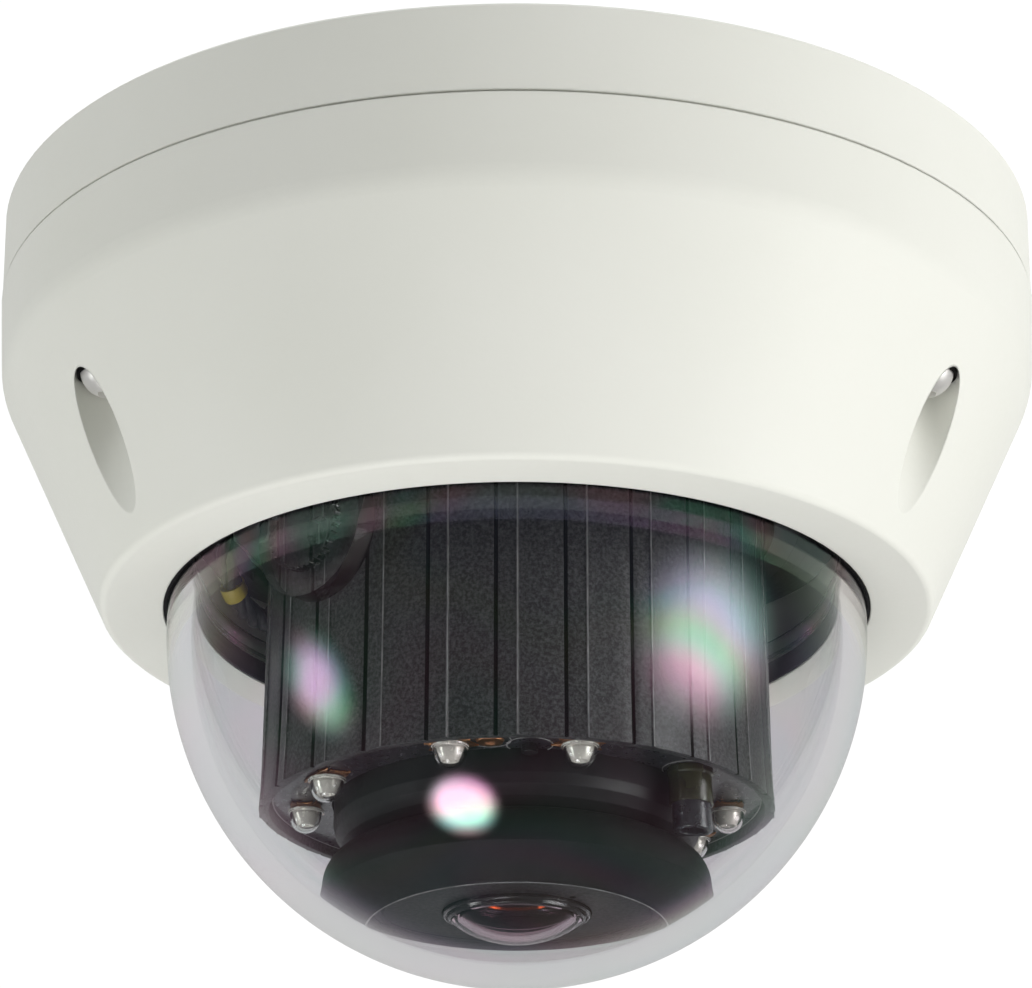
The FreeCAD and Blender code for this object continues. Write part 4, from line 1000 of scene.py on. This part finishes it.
def soft_light(name, bearing, elevation, wide, tall, power, color, core, steepness=2.0):
    """An area light that faces the dome and fades from its core to its edge, as a softbox does."""
    distance = 1.1
    middle_point = (0.5, 0.5, 0.0)
    edge = 0.5
    # The gain makes up for part of the light that the fade takes away.
    gain_value = 0.2 + steepness
    lamp = bpy.data.lights.new(name, "AREA")
    lamp.shape = "RECTANGLE"
    lamp.size = wide
    lamp.size_y = tall
    lamp.energy = power
    lamp.color = color
    lamp.use_nodes = True
    tree = lamp.node_tree
    emission = tree.nodes["Emission"]
    spot = tree.nodes.new("ShaderNodeNewGeometry")
    reach = tree.nodes.new("ShaderNodeVectorMath")
    reach.operation = "DISTANCE"
    reach.inputs[1].default_value = middle_point
    fade = tree.nodes.new("ShaderNodeMapRange")
    fade.interpolation_type = "SMOOTHSTEP"
    fade.inputs["From Min"].default_value = edge
    fade.inputs["From Max"].default_value = core
    steep = tree.nodes.new("ShaderNodeMath")
    steep.operation = "POWER"
    steep.inputs[1].default_value = steepness
    gain = tree.nodes.new("ShaderNodeMath")
    gain.operation = "MULTIPLY"
    gain.inputs[1].default_value = gain_value
    tree.links.new(spot.outputs["Parametric"], reach.inputs[0])
    tree.links.new(reach.outputs["Value"], fade.inputs["Value"])
    tree.links.new(fade.outputs["Result"], steep.inputs[0])
    tree.links.new(steep.outputs["Value"], gain.inputs[0])
    tree.links.new(gain.outputs["Value"], emission.inputs["Strength"])
    item = new_object(name, lamp)
    rise = math.radians(elevation)
    turn = math.radians(bearing)
    offset = Vector((math.sin(turn) * math.cos(rise), -math.cos(turn) * math.cos(rise), math.sin(rise)))
    item.location = Vector((0.0, 0.0, DOME_CENTRE * MM)) + offset * distance
    item.rotation_euler = (-offset).to_track_quat("-Z", "Y").to_euler()


def build_world():
    """A studio that is dark in front, bright behind and overhead, and white where the camera sees it."""
    world = bpy.data.worlds.new("studio")
    world.use_nodes = True
    tree = world.node_tree
    back = tree.nodes["Background"]
    place = tree.nodes.new("ShaderNodeTexCoord")
    split = tree.nodes.new("ShaderNodeSeparateXYZ")
    tree.links.new(place.outputs["Generated"], split.inputs["Vector"])

    def fade(axis, limits, first=0.0, last=1.0):
        item = tree.nodes.new("ShaderNodeMapRange")
        item.interpolation_type = "SMOOTHSTEP"
        item.inputs["From Min"].default_value = limits[0]
        item.inputs["From Max"].default_value = limits[1]
        item.inputs["To Min"].default_value = first
        item.inputs["To Max"].default_value = last
        tree.links.new(split.outputs[axis], item.inputs["Value"])
        return item.outputs["Result"]

    def blend(factor, first, second):
        item = tree.nodes.new("ShaderNodeMix")
        tree.links.new(factor, item.inputs["Factor"])
        for socket, value in ((item.inputs[2], first), (item.inputs[3], second)):
            if isinstance(value, float):
                socket.default_value = value
            else:
                tree.links.new(value, socket)
        return item.outputs[0]

    below = blend(fade("Y", LOW_BACK), FRONT_LEVEL, BACK_LOW)
    behind = fade("Z", BACK_RISE, BACK_LOW, BACK_LEVEL)
    level = blend(fade("Y", SIDES), FRONT_LEVEL, behind)
    around = blend(fade("Z", LOW_ENDS), below, level)
    whole = blend(fade("Z", OVERHEAD_STARTS), around, OVERHEAD)
    path = tree.nodes.new("ShaderNodeLightPath")
    tree.links.new(blend(path.outputs["Is Camera Ray"], whole, BACKDROP), back.inputs["Strength"])
    back.inputs["Color"].default_value = (1.0, 1.0, 1.0, 1.0)
    bpy.context.scene.world = world


def build_stage():
    side = 12000.0
    depth = -1700.0
    corners = [(-side, -side, depth), (side, -side, depth), (side, side, depth), (-side, side, depth)]
    floor = mesh_from("floor", corners, [(0, 1, 2, 3)])
    grey = surface("floor_white", (0.52, 0.52, 0.51), 0.7, spread=0.02, cloud=3.0, grain=90.0)
    floor.data.materials.append(grey)
    # The dome would mirror the floor as a pale veil, so only the camera and diffuse light see it.
    floor.visible_glossy = False
    floor.visible_transmission = False
    soft_light("key", 66.0, -8.0, wide=1.6, tall=1.6, power=18.5, color=(1.0, 0.995, 0.98), core=0.08,
               steepness=3.0)
    soft_light("strip", -74.0, -19.0, wide=0.60, tall=0.80, power=4.6, color=(0.97, 1.0, 0.98), core=0.10)
    soft_light("under", -50.0, -70.0, wide=0.50, tall=0.50, power=6.0, color=(1.0, 0.99, 0.99), core=0.20)
    build_world()
    bpy.context.scene.view_settings.view_transform = "Standard"


build_camera()
build_dome()
build_captive_screws()
build_washers()
build_shroud()
build_leds()
build_board_print()
build_board_screws()
build_light_sensor()
build_hood()
build_lens_face()
build_rim()
build_front_glass()
build_throat()
build_harness()
build_stage()
